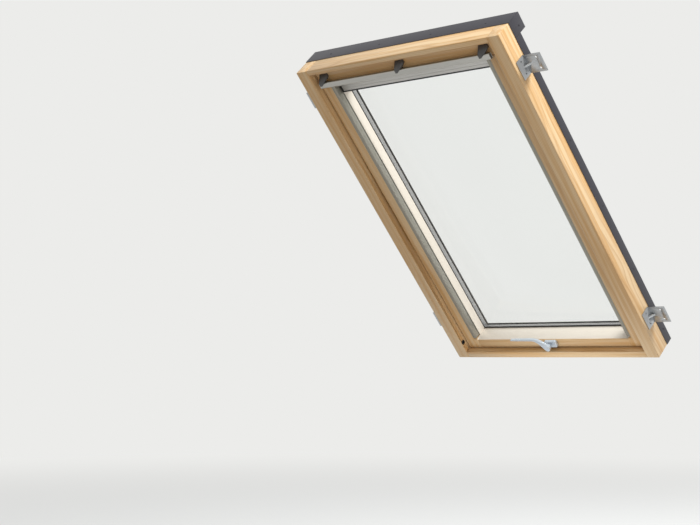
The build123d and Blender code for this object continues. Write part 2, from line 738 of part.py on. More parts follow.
def sash_bottom_rail():
    """Bottom rail with a sloping upper side, lock mortice and rod groove."""
    face = outline(
        [
            (Y_FACE, Z_FOOT),
            (Y_FACE, Z_RAIL_FACE),
            (Y_SHOULDER, Z_DAY_FOOT),
            (Y_SHOULDER, Z_GLASS_FOOT - GLASS_EDGE_CLEARANCE),
            (Y_LEG, Z_GLASS_FOOT - GLASS_EDGE_CLEARANCE),
            (Y_LEG, Z_FOOT),
        ],
        [((Y_FACE, Z_FOOT), SASH_EDGE_ROUND), ((Y_FACE, Z_RAIL_FACE), 2.0)],
    )
    rail = along_x(face, -X_DAY, X_DAY)
    rod_half = CAM_SPACING / 2 + CAM_THROW + 20
    groove_y = (Y_ROD - FACEPLATE_WIDTH / 2, Y_ROD + FACEPLATE_WIDTH / 2)
    rod_y_range = (Y_ROD - ROD_WIDTH / 2 - EDGE_GAP, Y_ROD + ROD_WIDTH / 2 + EDGE_GAP)
    plate_top = Z_FOOT + FACEPLATE_THICKNESS
    rail -= block((-rod_half, rod_half), groove_y, (Z_FOOT, plate_top))
    rail -= block((-rod_half + 2, rod_half - 2), rod_y_range, (plate_top, plate_top + ROD_HEIGHT + EDGE_GAP))
    x, y, z = lock_box()
    rail -= block(x, y, (plate_top, z[1]))
    rail -= rod_y(LEVER_HUB_RADIUS - 3, 0, Z_LEVER, Y_FACE, y[0])
    return rail


def lock_box():
    half = 30.0
    z0 = Z_FOOT + FACEPLATE_THICKNESS + ROD_HEIGHT + EDGE_GAP
    return (-half, half), (Y_ROD - 9, Y_ROD + 9), (z0, Z_LEVER + 11)


def lock_housing():
    x, y, z = lock_box()
    body = block(x, y, z)
    return body - rod_y(4.3, 0, Z_LEVER, y[0], y[1])


def lock_faceplate():
    """Strip under the rail with two slots for the cams."""
    rod_half = CAM_SPACING / 2 + CAM_THROW + 20
    y = (Y_ROD - FACEPLATE_WIDTH / 2, Y_ROD + FACEPLATE_WIDTH / 2)
    z = (Z_FOOT, Z_FOOT + FACEPLATE_THICKNESS)
    plate = block((-rod_half, rod_half), y, z)
    reach = CAM_NECK_RADIUS + KEEP_SLOT_CLEARANCE
    for centre in keep_centres():
        plate -= block((centre - reach, centre + CAM_THROW + reach), (Y_ROD - reach, Y_ROD + reach), z)
    return plate


def lock_rod():
    """Sliding rod with its two mushroom cams, at the locked end of its travel."""
    rod_half = CAM_SPACING / 2 + 10
    z0 = Z_FOOT + FACEPLATE_THICKNESS + EDGE_GAP / 2
    rod_x0 = CAM_THROW - rod_half
    rod = block(
        (rod_x0, rod_x0 + 2 * rod_half),
        (Y_ROD - ROD_WIDTH / 2, Y_ROD + ROD_WIDTH / 2),
        (z0, z0 + ROD_HEIGHT),
    )
    head_top = Z_SILL - KEEP_THICKNESS - 0.6
    for centre in keep_centres():
        x = centre + CAM_THROW
        rod += rod_z(CAM_NECK_RADIUS, x, Y_ROD, head_top - CAM_HEAD_THICKNESS, z0)
        rod += rod_z(CAM_HEAD_RADIUS, x, Y_ROD, head_top - CAM_HEAD_THICKNESS, head_top)
    return rod


def sash_top_rail():
    """Top rail: glass rebate behind, and a nose over the blind's cassette."""
    face = outline(
        [
            (Y_CASSETTE + CASSETTE_DEPTH, Z_DAY_TOP),
            (Y_SHOULDER, Z_DAY_TOP),
            (Y_SHOULDER, Z_GLASS_TOP + GLASS_EDGE_CLEARANCE),
            (Y_LEG, Z_GLASS_TOP + GLASS_EDGE_CLEARANCE),
            (Y_LEG, Z_RAIL_TOP),
            (Y_STILE_TOP, Z_RAIL_TOP),
            (Y_STILE_TOP, Z_CASSETTE_TOP),
            (Y_CASSETTE + CASSETTE_DEPTH, Z_CASSETTE_TOP),
        ]
    )
    x, y, z = latch_housing_box()
    return along_x(face, -X_DAY, X_DAY) - block(x, y, z)


def pane(y0):
    return block((-X_GLASS, X_GLASS), (y0, y0 + PANE_THICKNESS), (Z_GLASS_FOOT, Z_GLASS_TOP))


def pane_spacer():
    y0 = Y_UNIT + PANE_THICKNESS
    inset = 3.0
    return ring(X_GLASS - inset, Z_GLASS_FOOT + inset, Z_GLASS_TOP - inset, SPACER_WIDTH, y0, y0 + PANE_CAVITY)


def glazing_seal():
    """Black seals on both faces of the glass."""
    band = GLAZING_SEAL_WIDTH
    inner = ring(X_DAY + band, Z_DAY_FOOT - band, Z_DAY_TOP + band, band, Y_SHOULDER, Y_UNIT)
    outer = ring(X_DAY + band, Z_DAY_FOOT - band, Z_DAY_TOP + band, band, Y_UNIT_OUT, Y_CLAD)
    return inner + outer


def sash_seal():
    """Lip seal round the sides and foot of the sash."""
    y = (Y_LIP - 12.0, Y_LIP - 12.0 + SASH_SEAL_WIDTH)
    x_out = X_JAMB - SASH_SEAL_SIDE_CLEARANCE
    z0 = Z_FOOT - SASH_SEAL_DROP
    side = block((-x_out, -X_SASH), y, (z0, Z_TOP))
    foot_y = (Y_SHOULDER - 8, Y_SHOULDER - 8 + SASH_SEAL_WIDTH)
    foot = block((-X_SIDE, X_SIDE), foot_y, (z0, Z_FOOT))
    bolt_z = bolt_place()[1]
    break_half = BOLT_RADIUS + 2.0
    bolt_break = block((-x_out, -X_SASH), y, (bolt_z - break_half, bolt_z + break_half))
    return pair(side) + foot - bolt_break


def side_liner():
    """Light strip on the outer side of the left stile."""
    strip = block((-X_SIDE - 2.0, -X_SIDE), (Y_LIP + 1, Y_LIP + 30), (Z_FOOT, Z_RAIL_TOP + 2))
    return strip - rod_x(PIVOT_PIN_RADIUS + 0.5, PIVOT_DEPTH, PIVOT_HEIGHT, -X_SIDE - 2, -X_SIDE)


def cladding_profile(outer, inner, leg_foot):
    """Plate over the glass edge that turns down at its outer side."""
    top = Y_CLAD + COVER_THICKNESS
    return outline(
        [
            (outer, leg_foot),
            (outer + COVER_THICKNESS, leg_foot),
            (outer + COVER_THICKNESS, Y_CLAD),
            (inner, Y_CLAD),
            (inner, top),
            (outer, top),
        ],
        [((outer, top), 2.0), ((outer + COVER_THICKNESS, Y_CLAD), 0.8)],
    )


def cladding_side():
    """Folded cladding on the upper part of the left stile."""
    outer = -X_SIDE - CLADDING_SIDE_OFFSET
    step = PIVOT_HEIGHT - WIDE_CLADDING_START
    face = cladding_profile(outer, outer + CLADDING_LAP, Y_CLAD - CLADDING_LEG)
    return along_z(face, step, Z_RAIL_TOP)


def cladding_side_low():
    """Wider cladding on the foot of the left stile, lapping over the jamb."""
    inner = -X_SIDE - CLADDING_SIDE_OFFSET + CLADDING_LAP
    outer = -X_JAMB - WIDE_CLADDING_LAP
    step = PIVOT_HEIGHT - WIDE_CLADDING_START
    face = cladding_profile(outer, inner, FRAME_DEPTH + COVER_THICKNESS + 2.0)
    return along_z(face, Z_FOOT, step)


def cladding_bottom():
    """Folded cladding over the bottom rail with its drip edge."""
    low = Z_FOOT - CLADDING_DRIP
    top = Y_CLAD + COVER_THICKNESS
    high = Z_DAY_FOOT - 4.0
    face = outline(
        [
            (FRAME_DEPTH + 5.0, low),
            (top, low),
            (top, high),
            (Y_CLAD, high),
            (Y_CLAD, low + COVER_THICKNESS),
            (FRAME_DEPTH + 5.0, low + COVER_THICKNESS),
        ],
        [((top, low), 2.0), ((Y_CLAD, low + COVER_THICKNESS), 0.8)],
    )
    half = X_SIDE + CLADDING_SIDE_OFFSET - CLADDING_LAP - EDGE_GAP
    middle = along_x(face, -half, half)
    tail_x = X_JAMB + WIDE_CLADDING_LAP
    tail = outline(
        [
            (FRAME_DEPTH + 5.0, low),
            (top, low),
            (top, Z_FOOT - EDGE_GAP),
            (Y_CLAD, Z_FOOT - EDGE_GAP),
            (Y_CLAD, low + COVER_THICKNESS),
            (FRAME_DEPTH + 5.0, low + COVER_THICKNESS),
        ],
        [((top, low), 2.0), ((Y_CLAD, low + COVER_THICKNESS), 0.8)],
    )
    return middle + along_x(tail, -tail_x, tail_x)


def cladding_top():
    half = X_SIDE + CLADDING_SIDE_OFFSET - CLADDING_LAP - EDGE_GAP
    low = Z_DAY_TOP + 4.0
    top = Y_CLAD + COVER_THICKNESS
    face = outline(
        [
            (Y_CLAD, low),
            (top, low),
            (top, Z_RAIL_TOP + COVER_THICKNESS),
            (Y_LEG - 8.0, Z_RAIL_TOP + COVER_THICKNESS),
            (Y_LEG - 8.0, Z_RAIL_TOP),
            (Y_CLAD, Z_RAIL_TOP),
        ],
        [((top, Z_RAIL_TOP + COVER_THICKNESS), 2.0)],
    )
    return along_x(face, -half, half)


def pivot_pin():
    """Left middle pin: fixed in the stile, turning in the arm."""
    radius = PIVOT_PIN_RADIUS - PIN_CLEARANCE
    x_end = -X_ARM_OUT - PIVOT_BLOCK_THICKNESS
    pin = rod_x(radius, PIVOT_DEPTH, PIVOT_HEIGHT, x_end, -X_LEG - 4)
    washer = rod_x(1.35 * PIVOT_PIN_RADIUS, PIVOT_DEPTH, PIVOT_HEIGHT, -X_ARM_IN + EDGE_GAP, -X_SIDE - 2.0)
    return pin + washer


# Blind
def side_channel():
    """Left guide channel with a slot towards the daylight."""
    foot = Z_RAIL_FACE + 4.0 + 6.0
    head = Z_STILE_STEP
    y1 = Y_FACE + CHANNEL_DEPTH
    body = block((-X_CHANNEL, -X_DAY), (Y_FACE, y1), (foot, head))
    slot_y = (Y_PULL - 0.5, Y_PULL - 0.5 + CHANNEL_SLOT)
    slot = block((-X_DAY - CHANNEL_SLOT_DEPTH, -X_DAY), slot_y, (foot, head))
    line = block((-X_CHANNEL + 3, -X_CHANNEL + 4), (Y_FACE, Y_FACE + 0.8), (foot, head))
    return body - slot - line


def blind_cassette():
    """Slim box that hides the rolled blind, open along its foot."""
    half = X_DAY - CASSETTE_END_CLEARANCE
    y = (Y_CASSETTE, Y_CASSETTE + CASSETTE_DEPTH)
    z = (Z_PULL_TOP + CASSETTE_FOOT_GAP, Z_CASSETTE_TOP)
    face = outline([(y[0], z[0]), (y[1], z[0]), (y[1], z[1]), (y[0], z[1])], [((y[0], z[1]), 3.0), ((y[0], z[0]), 2.0)])
    case = along_x(face, -half, half)
    t = CASSETTE_WALL
    case -= block((-half + 3, half - 3), (y[0] + t, y[1] - t), (z[0] + t, z[1] - t))
    mouth_y = (Y_PULL + 3, Y_PULL + 6)
    return case - block((-half + 3, half - 3), mouth_y, (z[0], z[0] + t))


def roll_centre():
    return Y_CASSETTE + CASSETTE_DEPTH / 2, (Z_PULL_TOP + CASSETTE_FOOT_GAP + Z_CASSETTE_TOP) / 2


def blind_roll():
    y, z = roll_centre()
    half = X_DAY - CASSETTE_END_CLEARANCE - 3
    return rod_x(BLIND_ROLL_RADIUS, y, z, -half + 2, half - 2) + rod_x(3.0, y, z, -half, half)


def pull_bar():
    """Bottom bar of the blind, with a dark lip along its foot."""
    half = X_DAY - 1.0 - PULL_BAR_CAP
    y = (Y_PULL, Y_PULL + PULL_BAR_DEPTH)
    z = (Z_PULL_TOP - PULL_BAR_HEIGHT + PULL_BAR_LIP, Z_PULL_TOP)
    face = outline([(y[0], z[0]), (y[1], z[0]), (y[1], z[1]), (y[0], z[1])], [((y[0], z[1]), 1.5)])
    bar = along_x(face, -half, half)
    mid = (z[0] + z[1]) / 2
    return bar - block((-half, half), (y[0], y[0] + 0.8), (mid, mid + 1.2))


def pull_bar_ends():
    """Black lip under the bar and its two end caps with guide tongues."""
    half = X_DAY - 1.0
    y = (Y_PULL, Y_PULL + PULL_BAR_DEPTH)
    z = (Z_PULL_TOP - PULL_BAR_HEIGHT, Z_PULL_TOP)
    lip = block((-half + PULL_BAR_CAP, half - PULL_BAR_CAP), y, (z[0], z[0] + PULL_BAR_LIP))
    cap = block((-half, -half + PULL_BAR_CAP), y, z)
    tongue_x = (-X_DAY - CHANNEL_SLOT_DEPTH + 1.0, -half)
    tongue = block(tongue_x, (Y_PULL, Y_PULL + CHANNEL_SLOT - 1.0), (z[0] + 3, z[1] - 3))
    return lip + pair(cap + tongue)


# Ventilation flap
def vent_flap():
    half = X_SASH - FLAP_END_CLEARANCE
    face = outline(
        [(Y_FACE, Z_FLAP), (Y_FLAP_BACK, Z_FLAP), (Y_FLAP_BACK, Z_TOP), (Y_FACE, Z_TOP)],
        [((Y_FACE, Z_FLAP), FRAME_EDGE_ROUND), ((Y_FACE, Z_TOP), FRAME_EDGE_ROUND)],
    )
    flap = along_x(face, -half, half)
    for centre in flap_hinge_centres():
        flap -= flap_leaf(centre)
    return flap


def flap_hinge_centres():
    return [-FLAP_HINGE_SPACING, 0.0, FLAP_HINGE_SPACING]


def flap_hinge_fixed():
    """Fixed leaves on the rail, each with two knuckles and its pin."""
    group = None
    third = FLAP_HINGE_LENGTH / 3
    arm_z = (FLAP_AXIS_Z - FLAP_KNUCKLE_RADIUS, FLAP_AXIS_Z - FLAP_KNUCKLE_RADIUS + FLAP_LEAF_THICKNESS)
    for centre in flap_hinge_centres():
        low = centre - FLAP_HINGE_LENGTH / 2
        leaf = block(
            (low, low + FLAP_HINGE_LENGTH),
            (Y_STILE_TOP - FLAP_LEAF_THICKNESS, Y_STILE_TOP),
            (Z_CASSETTE_TOP + EDGE_GAP, Z_RAIL_TOP),
        )
        pin = rod_x(
            FLAP_PIN_RADIUS - PIN_CLEARANCE, FLAP_AXIS_Y, FLAP_AXIS_Z, low, low + FLAP_HINGE_LENGTH
        )
        piece = leaf + pin
        for start in (low, low + 2 * third):
            x = (start, start + third - EDGE_GAP)
            piece += rod_x(FLAP_KNUCKLE_RADIUS, FLAP_AXIS_Y, FLAP_AXIS_Z, x[0], x[1])
            piece += block(x, (FLAP_AXIS_Y, Y_STILE_TOP), arm_z)
        group = piece if group is None else group + piece
    return group


def flap_hinge_moving():
    """Moving leaves let into the flap's foot, each with its middle knuckle."""
    group = None
    third = FLAP_HINGE_LENGTH / 3
    for centre in flap_hinge_centres():
        x = (centre - third / 2, centre + third / 2 - EDGE_GAP)
        knuckle = rod_x(FLAP_KNUCKLE_RADIUS, FLAP_AXIS_Y, FLAP_AXIS_Z, x[0], x[1])
        web = block(x, (FLAP_AXIS_Y - 1, FLAP_AXIS_Y + 1), (FLAP_AXIS_Z, Z_FLAP))
        piece = knuckle + web + flap_leaf(centre)
        piece -= rod_x(FLAP_PIN_RADIUS, FLAP_AXIS_Y, FLAP_AXIS_Z, x[0], x[1])
        group = piece if group is None else group + piece
    return group


def flap_leaf(centre):
    half = FLAP_HINGE_LENGTH / 2 - 3.0
    y = (FLAP_AXIS_Y - 1, Y_FLAP_BACK - 3.0)
    return block((centre - half, centre + half), y, (Z_FLAP, Z_FLAP + FLAP_LEAF_THICKNESS))


def control_bar():
    """Hollow bar that is pulled to open the flap."""
    y = (Y_BAR, Y_BAR_BACK)
    z = (Z_BAR, Z_BAR + BAR_HEIGHT)
    corners = [(y[0], z[0]), (y[1], z[0]), (y[1], z[1]), (y[0], z[1])]
    skin = outline(corners, [(corner, BAR_ROUND) for corner in corners])
    t = BAR_WALL
    inner = [(y[0] + t, z[0] + t), (y[1] - t, z[0] + t), (y[1] - t, z[1] - t), (y[0] + t, z[1] - t)]
    bore = outline(inner, [(corner, BAR_ROUND - t) for corner in inner])
    return along_x(skin - bore, -BAR_LENGTH / 2, BAR_LENGTH / 2)


def bar_bracket(centre):
    """Wedge-shaped moulding from the flap down over the bar."""
    z1 = Z_BAR + BAR_HEIGHT
    front = Y_BAR - 2.0
    side = outline(
        [
            (Y_FACE, z1 + 22),
            (Y_FACE, z1 - 7),
            (Y_BAR_BACK, z1 - 9),
            (Y_BAR_BACK, z1),
            (Y_BAR, z1),
            (Y_BAR, z1 - 12),
            (front, z1 - 13),
            (front, z1 + 1),
            (Y_BAR + 5, z1 + 8),
        ]
    )
    half = BAR_BRACKET_WIDTH / 2
    wedge = along_x(side, -half, half)
    taper = Polygon(
        (-half, z1 + 23),
        (-BAR_BRACKET_TIP / 2, z1 - 14),
        (BAR_BRACKET_TIP / 2, z1 - 14),
        (half, z1 + 23),
        align=None,
    )
    tapered = wedge & along_y(taper, front - 1, Y_FACE + 1)
    return Pos(centre, 0, 0) * tapered - bar_clearance()


def bar_clearance():
    """Room for the bar inside a bracket."""
    y = (Y_BAR, Y_BAR_BACK)
    z = (Z_BAR, Z_BAR + BAR_HEIGHT)
    corners = [(y[0], z[0]), (y[1], z[0]), (y[1], z[1]), (y[0], z[1])]
    return along_x(outline(corners, [(corner, BAR_ROUND) for corner in corners]), -BAR_LENGTH / 2, BAR_LENGTH / 2)


def bar_brackets():
    end = BAR_LENGTH / 2 - BAR_BRACKET_WIDTH / 2 + 1
    return bar_bracket(-end) + bar_bracket(0) + bar_bracket(end)


def air_filter():
    """Foam strip that the ventilation air passes."""
    half = X_DAY - 4.0
    y0 = Y_STILE_TOP + 4.0
    return block((-half, half), (y0, y0 + FILTER_DEPTH), (Z_RAIL_TOP, Z_RAIL_TOP + FILTER_HEIGHT))


# Head latch
def latch_housing_box():
    half = LATCH_HOUSING_WIDTH / 2
    y = (Y_LATCH - LATCH_HOUSING_DEPTH / 2, Y_LATCH + LATCH_HOUSING_DEPTH / 2)
    return (-half, half), y, (Z_RAIL_TOP - LATCH_HOUSING_SINK, Z_RAIL_TOP + LATCH_HOUSING_HEIGHT)


def latch_housing():
    x, y, z = latch_housing_box()
    slot_x = LATCH_WIDTH / 2 + EDGE_GAP
    slot_y = (Y_LATCH - LATCH_THICKNESS / 2 - EDGE_GAP, Y_LATCH + LATCH_THICKNESS / 2 + EDGE_GAP)
    return block(x, y, z) - block((-slot_x, slot_x), slot_y, (z[0] + 2, z[1]))


def top_latch():
    """Latch tongue, shown out in its keep; it drops when the bar is pulled."""
    x, y, z = latch_housing_box()
    z0 = z[0] + 2 + EDGE_GAP + LATCH_THROW
    z1 = z[1] + LATCH_ENGAGEMENT
    half = LATCH_WIDTH / 2
    y = (Y_LATCH - LATCH_THICKNESS / 2, Y_LATCH + LATCH_THICKNESS / 2)
    face = outline([(y[0], z0), (y[1], z0), (y[1], z1 - 3), (y[1] - 3, z1), (y[0], z1)])
    return along_x(face, -half, half)


# Lever
def handle_base():
    x0 = LEVER_BASE_OFFSET - LEVER_BASE_WIDTH / 2
    y = (Y_FACE - LEVER_BASE_DEPTH, Y_FACE)
    z = (Z_LEVER - LEVER_BASE_HEIGHT / 2, Z_LEVER + LEVER_BASE_HEIGHT / 2)
    base = block((x0, x0 + LEVER_BASE_WIDTH), y, z)
    base = fillet(base.edges().filter_by(Axis.Y), 6.0)
    base = fillet(base.faces().sort_by(Axis.Y)[0].edges(), 2.5)
    return base - rod_y(4.3, 0, Z_LEVER, y[0], y[1])


def handle_lever():
    """Cranked lever with its hub and square spindle."""
    y_base = Y_FACE - LEVER_BASE_DEPTH - EDGE_GAP
    y_front = y_base - LEVER_HUB_DEPTH
    hub = rod_y(LEVER_HUB_RADIUS, 0, Z_LEVER, y_front, y_base)
    hub = fillet(hub.faces().sort_by(Axis.Y)[0].edges(), 3.0)
    line = FilletPolyline(
        (0, 0),
        (-LEVER_CRANK_REACH, LEVER_GRIP_RISE - 2),
        (-LEVER_GRIP_REACH, LEVER_GRIP_RISE),
        radius=LEVER_BEND_RADIUS,
    )
    strip = trace(line, LEVER_WIDTH)
    tip = Pos(-LEVER_GRIP_REACH, LEVER_GRIP_RISE) * Circle(LEVER_WIDTH / 2)
    plan = Pos(0, Z_LEVER) * (strip + tip)
    arm = along_y(plan, y_front + 0.5, y_front + 0.5 + LEVER_THICKNESS)
    arm = fillet(arm.edges().filter_by(lambda e: abs(e.center().Y - (y_front + 0.5)) < 0.01), 2.0)
    spindle_end = Y_ROD + 6
    spindle = rod_y(4.0, 0, Z_LEVER, y_base - 1, spindle_end)
    return hub + arm + spindle


# Placing
def as_installed(shape):
    """Lean an upright piece back to the roof pitch, about the roof plane."""
    return Rot(90 - ROOF_PITCH, 0, 0) * (Pos(0, -ROOF_PLANE, 0) * shape)


def build():
    left_jamb = frame_jamb()
    left_stile = sash_stile()
    bx, by, bz = bolt_housing_box()
    parts = {
        "frame_head": frame_head(),
        "frame_sill": frame_sill(),
        "frame_jamb_left": left_jamb - bush_blank() - bolt_rest_hole(),
        "frame_jamb_right": other_side(left_jamb),
        "frame_covers_side": pair(frame_cover_side()),
        "frame_cover_bottom": frame_cover_bottom(),
        "hood": hood(),
        "hood_ends": pair(hood_end()),
        "jamb_liners": pair(jamb_liner()),
        "sill_keeps": sill_keep(keep_centres()[0]) + sill_keep(keep_centres()[1]),
        "bolt_bush": bolt_bush(),
        "hinge_brackets": pair(hinge_bracket()),
        "roof_brackets_top": pair(roof_bracket(1)),
        "roof_brackets_bottom": pair(roof_bracket(-1)),
        "frame_screws": frame_screws(),
        "hinge_arm_left": hinge_arm(),
        "hinge_arm_right": other_side(hinge_arm()),
        "hinge_pins": pair(hinge_pin()),
        "pivot_blocks": pair(pivot_block()),
        "cross_rail": cross_rail(),
        "latch_keep": latch_keep(),
        "arm_covers": pair(arm_cover()),
        "roll_cover": roll_cover(),
        "sash_stile_left": left_stile - block(bx, by, bz),
        "sash_stile_right": other_side(left_stile),
        "sash_top_rail": sash_top_rail(),
        "sash_bottom_rail": sash_bottom_rail(),
        "pane_inner": pane(Y_UNIT),
        "pane_outer": pane(Y_UNIT_OUT - PANE_THICKNESS),
        "pane_spacer": pane_spacer(),
        "glazing_seal": glazing_seal(),
        "sash_seal": sash_seal(),
        "sash_cladding_left": cladding_side(),
        "sash_cladding_right": other_side(cladding_side()),
        "sash_cladding_low": pair(cladding_side_low()),
        "sash_cladding_bottom": cladding_bottom(),
        "sash_cladding_top": cladding_top(),
        "side_liners": pair(side_liner()),
        "pivot_pins": pair(pivot_pin()),
        "side_channels": pair(side_channel()),
        "blind_cassette": blind_cassette(),
        "blind_roll": blind_roll(),
        "pull_bar": pull_bar(),
        "pull_bar_ends": pull_bar_ends(),
        "handle_base": handle_base(),
        "handle_lever": handle_lever(),
        "lock_housing": lock_housing(),
        "lock_faceplate": lock_faceplate(),
        "lock_rod": lock_rod(),
        "latch_housing": latch_housing(),
        "top_latch": top_latch(),
        "bolt_housing": bolt_housing(),
        "barrel_bolt": barrel_bolt(),
        "vent_flap": vent_flap(),
        "flap_hinge_fixed": flap_hinge_fixed(),
        "flap_hinge_moving": flap_hinge_moving(),
        "control_bar": control_bar(),
        "bar_brackets": bar_brackets(),
        "air_filter": air_filter(),
    }
    return parts


os.makedirs("parts", exist_ok=True)
for node, shape in build().items():
    export_step(as_installed(shape), f"parts/{node}.step")
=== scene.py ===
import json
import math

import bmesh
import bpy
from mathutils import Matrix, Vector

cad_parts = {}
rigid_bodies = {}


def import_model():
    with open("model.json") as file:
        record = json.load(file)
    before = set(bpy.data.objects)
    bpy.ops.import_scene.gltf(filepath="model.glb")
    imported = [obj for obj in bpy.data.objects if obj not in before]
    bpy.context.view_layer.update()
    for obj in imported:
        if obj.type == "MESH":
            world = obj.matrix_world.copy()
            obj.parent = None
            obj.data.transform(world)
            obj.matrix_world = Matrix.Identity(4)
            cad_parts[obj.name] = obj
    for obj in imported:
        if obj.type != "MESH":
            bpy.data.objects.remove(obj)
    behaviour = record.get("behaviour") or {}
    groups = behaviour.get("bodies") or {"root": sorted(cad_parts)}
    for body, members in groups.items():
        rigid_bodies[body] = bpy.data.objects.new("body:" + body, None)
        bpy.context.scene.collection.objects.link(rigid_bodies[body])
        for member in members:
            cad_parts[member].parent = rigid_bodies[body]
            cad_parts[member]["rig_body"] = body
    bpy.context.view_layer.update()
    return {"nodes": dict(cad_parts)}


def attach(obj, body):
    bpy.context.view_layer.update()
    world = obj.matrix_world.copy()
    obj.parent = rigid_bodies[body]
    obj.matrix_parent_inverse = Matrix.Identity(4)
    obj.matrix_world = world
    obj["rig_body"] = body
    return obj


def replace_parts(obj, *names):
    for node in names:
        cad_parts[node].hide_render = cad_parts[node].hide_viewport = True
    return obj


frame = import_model()

# %% [markdown]
# # A pine roof window, dressed for the camera
#
# The window was drawn upright and then leaned back to the pitch of the roof, about the
# middle of the frame in the plane of its roof brackets. Everything below uses the same
# local coordinates in millimetres: x across the window, y out of the building (0 is the
# room face of the frame), z up the slope (0 is the middle of its height). The function
# `place` turns them into the shared frame in metres, so a piece can be designed flat and
# still land exactly where the solids are.

NODES = frame["nodes"]
MM = 0.001
ROOF_PITCH = math.radians(48.0)
LEAN = math.pi / 2 - ROOF_PITCH
ROOF_PLANE = 50.0
TO_SHARED = Matrix.Rotation(LEAN, 4, "X") @ Matrix.Translation((0, -ROOF_PLANE * MM, 0))
TO_LOCAL = TO_SHARED.inverted()


def place(x, y, z):
    """Local millimetres to the shared frame in metres."""
    return TO_SHARED @ (Vector((x, y, z)) * MM)


def local(point):
    """A point of the shared frame in local millimetres."""
    return (TO_LOCAL @ point) / MM


def aim(x, y, z):
    """Local direction to a direction in the shared frame."""
    return (TO_SHARED.to_3x3() @ Vector((x, y, z))).normalized()


# %% [markdown]
# ## Sizes that the dressing shares with the solids
#
# These few numbers say where the wood, the glass and the hardware lie, so that the pieces
# added here sit on them. They are the values that the solids were made from, apart from
# the foot of the sash and the foot of the spacer, which are those of the refitted copies.

# %% Shared sizes in local millimetres
HALF_W = 390.0
X_SPACER = 299.0
X_BAR = 328.0
Y_FACE = 22.0
Y_UNIT = 81.0
COVER = 1.5
Y_CLAD_TOP = 108.5
Y_LOCK = 48.0
HALF_H = 590.0
Z_SILL = -567.0
Z_FOOT = -563.5
Z_SPACER_FOOT = -532.0
Z_SPACER_TOP = 491.0
Z_LEVER = -546.0
PANE = 4.0
CAVITY = 16.0

# %% [markdown]
# ## A small way to write node graphs
#
# Node graphs are easier to read as formulas than as a tangle of boxes. `Sock` wraps one
# output socket and gives it the usual operators, so `a * 0.5 + b` adds Math nodes behind
# the scenes. Plain numbers may stand on either side of an operator, which is why the
# reflected forms are there too. `Net` makes any other node: it takes the type, the
# settings, and the values or links of the sockets.


# %% Socket wrapper and node builder
class Sock:
    """One output socket of a node graph, with arithmetic."""

    def __init__(self, net, socket):
        self.net = net
        self.socket = socket

    def __add__(self, other):
        return self.net.math("ADD", self, other)

    def __radd__(self, other):
        return self.net.math("ADD", other, self)

    def __sub__(self, other):
        return self.net.math("SUBTRACT", self, other)

    def __rsub__(self, other):
        return self.net.math("SUBTRACT", other, self)

    def __mul__(self, other):
        return self.net.math("MULTIPLY", self, other)

    def __rmul__(self, other):
        return self.net.math("MULTIPLY", other, self)

    def __truediv__(self, other):
        return self.net.math("DIVIDE", self, other)


class Net:
    """Makes nodes in one tree."""

    def __init__(self, tree):
        self.tree = tree

    def feed(self, target, value):
        if isinstance(value, Sock):
            self.tree.links.new(value.socket, target)
        else:
            target.default_value = value

    def node(self, kind, settings=None, sockets=None, out=0):
        made = self.tree.nodes.new(kind)
        for key, value in (settings or {}).items():
            setattr(made, key, value)
        for key, value in (sockets or {}).items():
            self.feed(made.inputs[key], value)
        return Sock(self, made.outputs[out])

    def math(self, operation, a, b=0.0):
        return self.node("ShaderNodeMath", {"operation": operation}, {0: a, 1: b})


# %% [markdown]
# ## Materials in the same way
#
# `Finish` starts a material with its Principled shader and adds the few helpers that
# every finish here needs. The coordinates are turned upright first, so that grain runs
# along the wood and brush lines run along the aluminium, although the window leans.


# %% Material builder
class Finish(Net):
    """Builds the nodes of one material."""

    def __init__(self, name):
        self.material = bpy.data.materials.new(name)
        self.material.use_nodes = True
        super().__init__(self.material.node_tree)
        self.tree.nodes.clear()
        self.shader = self.tree.nodes.new("ShaderNodeBsdfPrincipled")
        self.output = self.tree.nodes.new("ShaderNodeOutputMaterial")
        self.surface(Sock(self, self.shader.outputs["BSDF"]))

    def surface(self, shader):
        self.feed(self.output.inputs["Surface"], shader)

    def set(self, **values):
        for key, value in values.items():
            self.feed(self.shader.inputs[key.replace("_", " ")], value)
        return self.material

    def ramp(self, value, low, high):
        """0 below low, 1 above high, smooth between."""
        return self.node(
            "ShaderNodeMapRange",
            {"interpolation_type": "SMOOTHSTEP"},
            {"Value": value, "From Min": low, "From Max": high},
        )

    def blend(self, factor, a, b):
        """Mix of two colours."""
        return self.node("ShaderNodeMix", {"data_type": "RGBA"}, {0: factor, 6: a, 7: b}, out=2)

    def coords(self):
        """Object coordinates in metres, turned upright."""
        raw = self.node("ShaderNodeTexCoord", out="Object")
        return self.node(
            "ShaderNodeVectorRotate", {"rotation_type": "X_AXIS"}, {"Vector": raw, "Angle": -LEAN}
        )

    def split(self, vector):
        first = self.node("ShaderNodeSeparateXYZ", None, {0: vector})
        return [Sock(self, out) for out in first.socket.node.outputs]

    def join(self, x, y, z):
        return self.node("ShaderNodeCombineXYZ", None, {0: x, 1: y, 2: z})

    def noise(self, vector, scale, detail=2.0, roughness=0.5):
        sockets = {"Vector": vector, "Scale": scale, "Detail": detail, "Roughness": roughness}
        return self.node("ShaderNodeTexNoise", None, sockets)

    def bump(self, height, strength, distance):
        sockets = {"Height": height, "Strength": strength, "Distance": distance}
        self.set(Normal=self.node("ShaderNodeBump", None, sockets))


def rgb(code):
    """Hex colour as seen on screen, to the linear values that shaders use."""
    parts = [int(code[i : i + 2], 16) / 255 for i in (0, 2, 4)]
    linear = [c / 12.92 if c <= 0.04045 else ((c + 0.055) / 1.055) ** 2.4 for c in parts]
    return (*linear, 1.0)
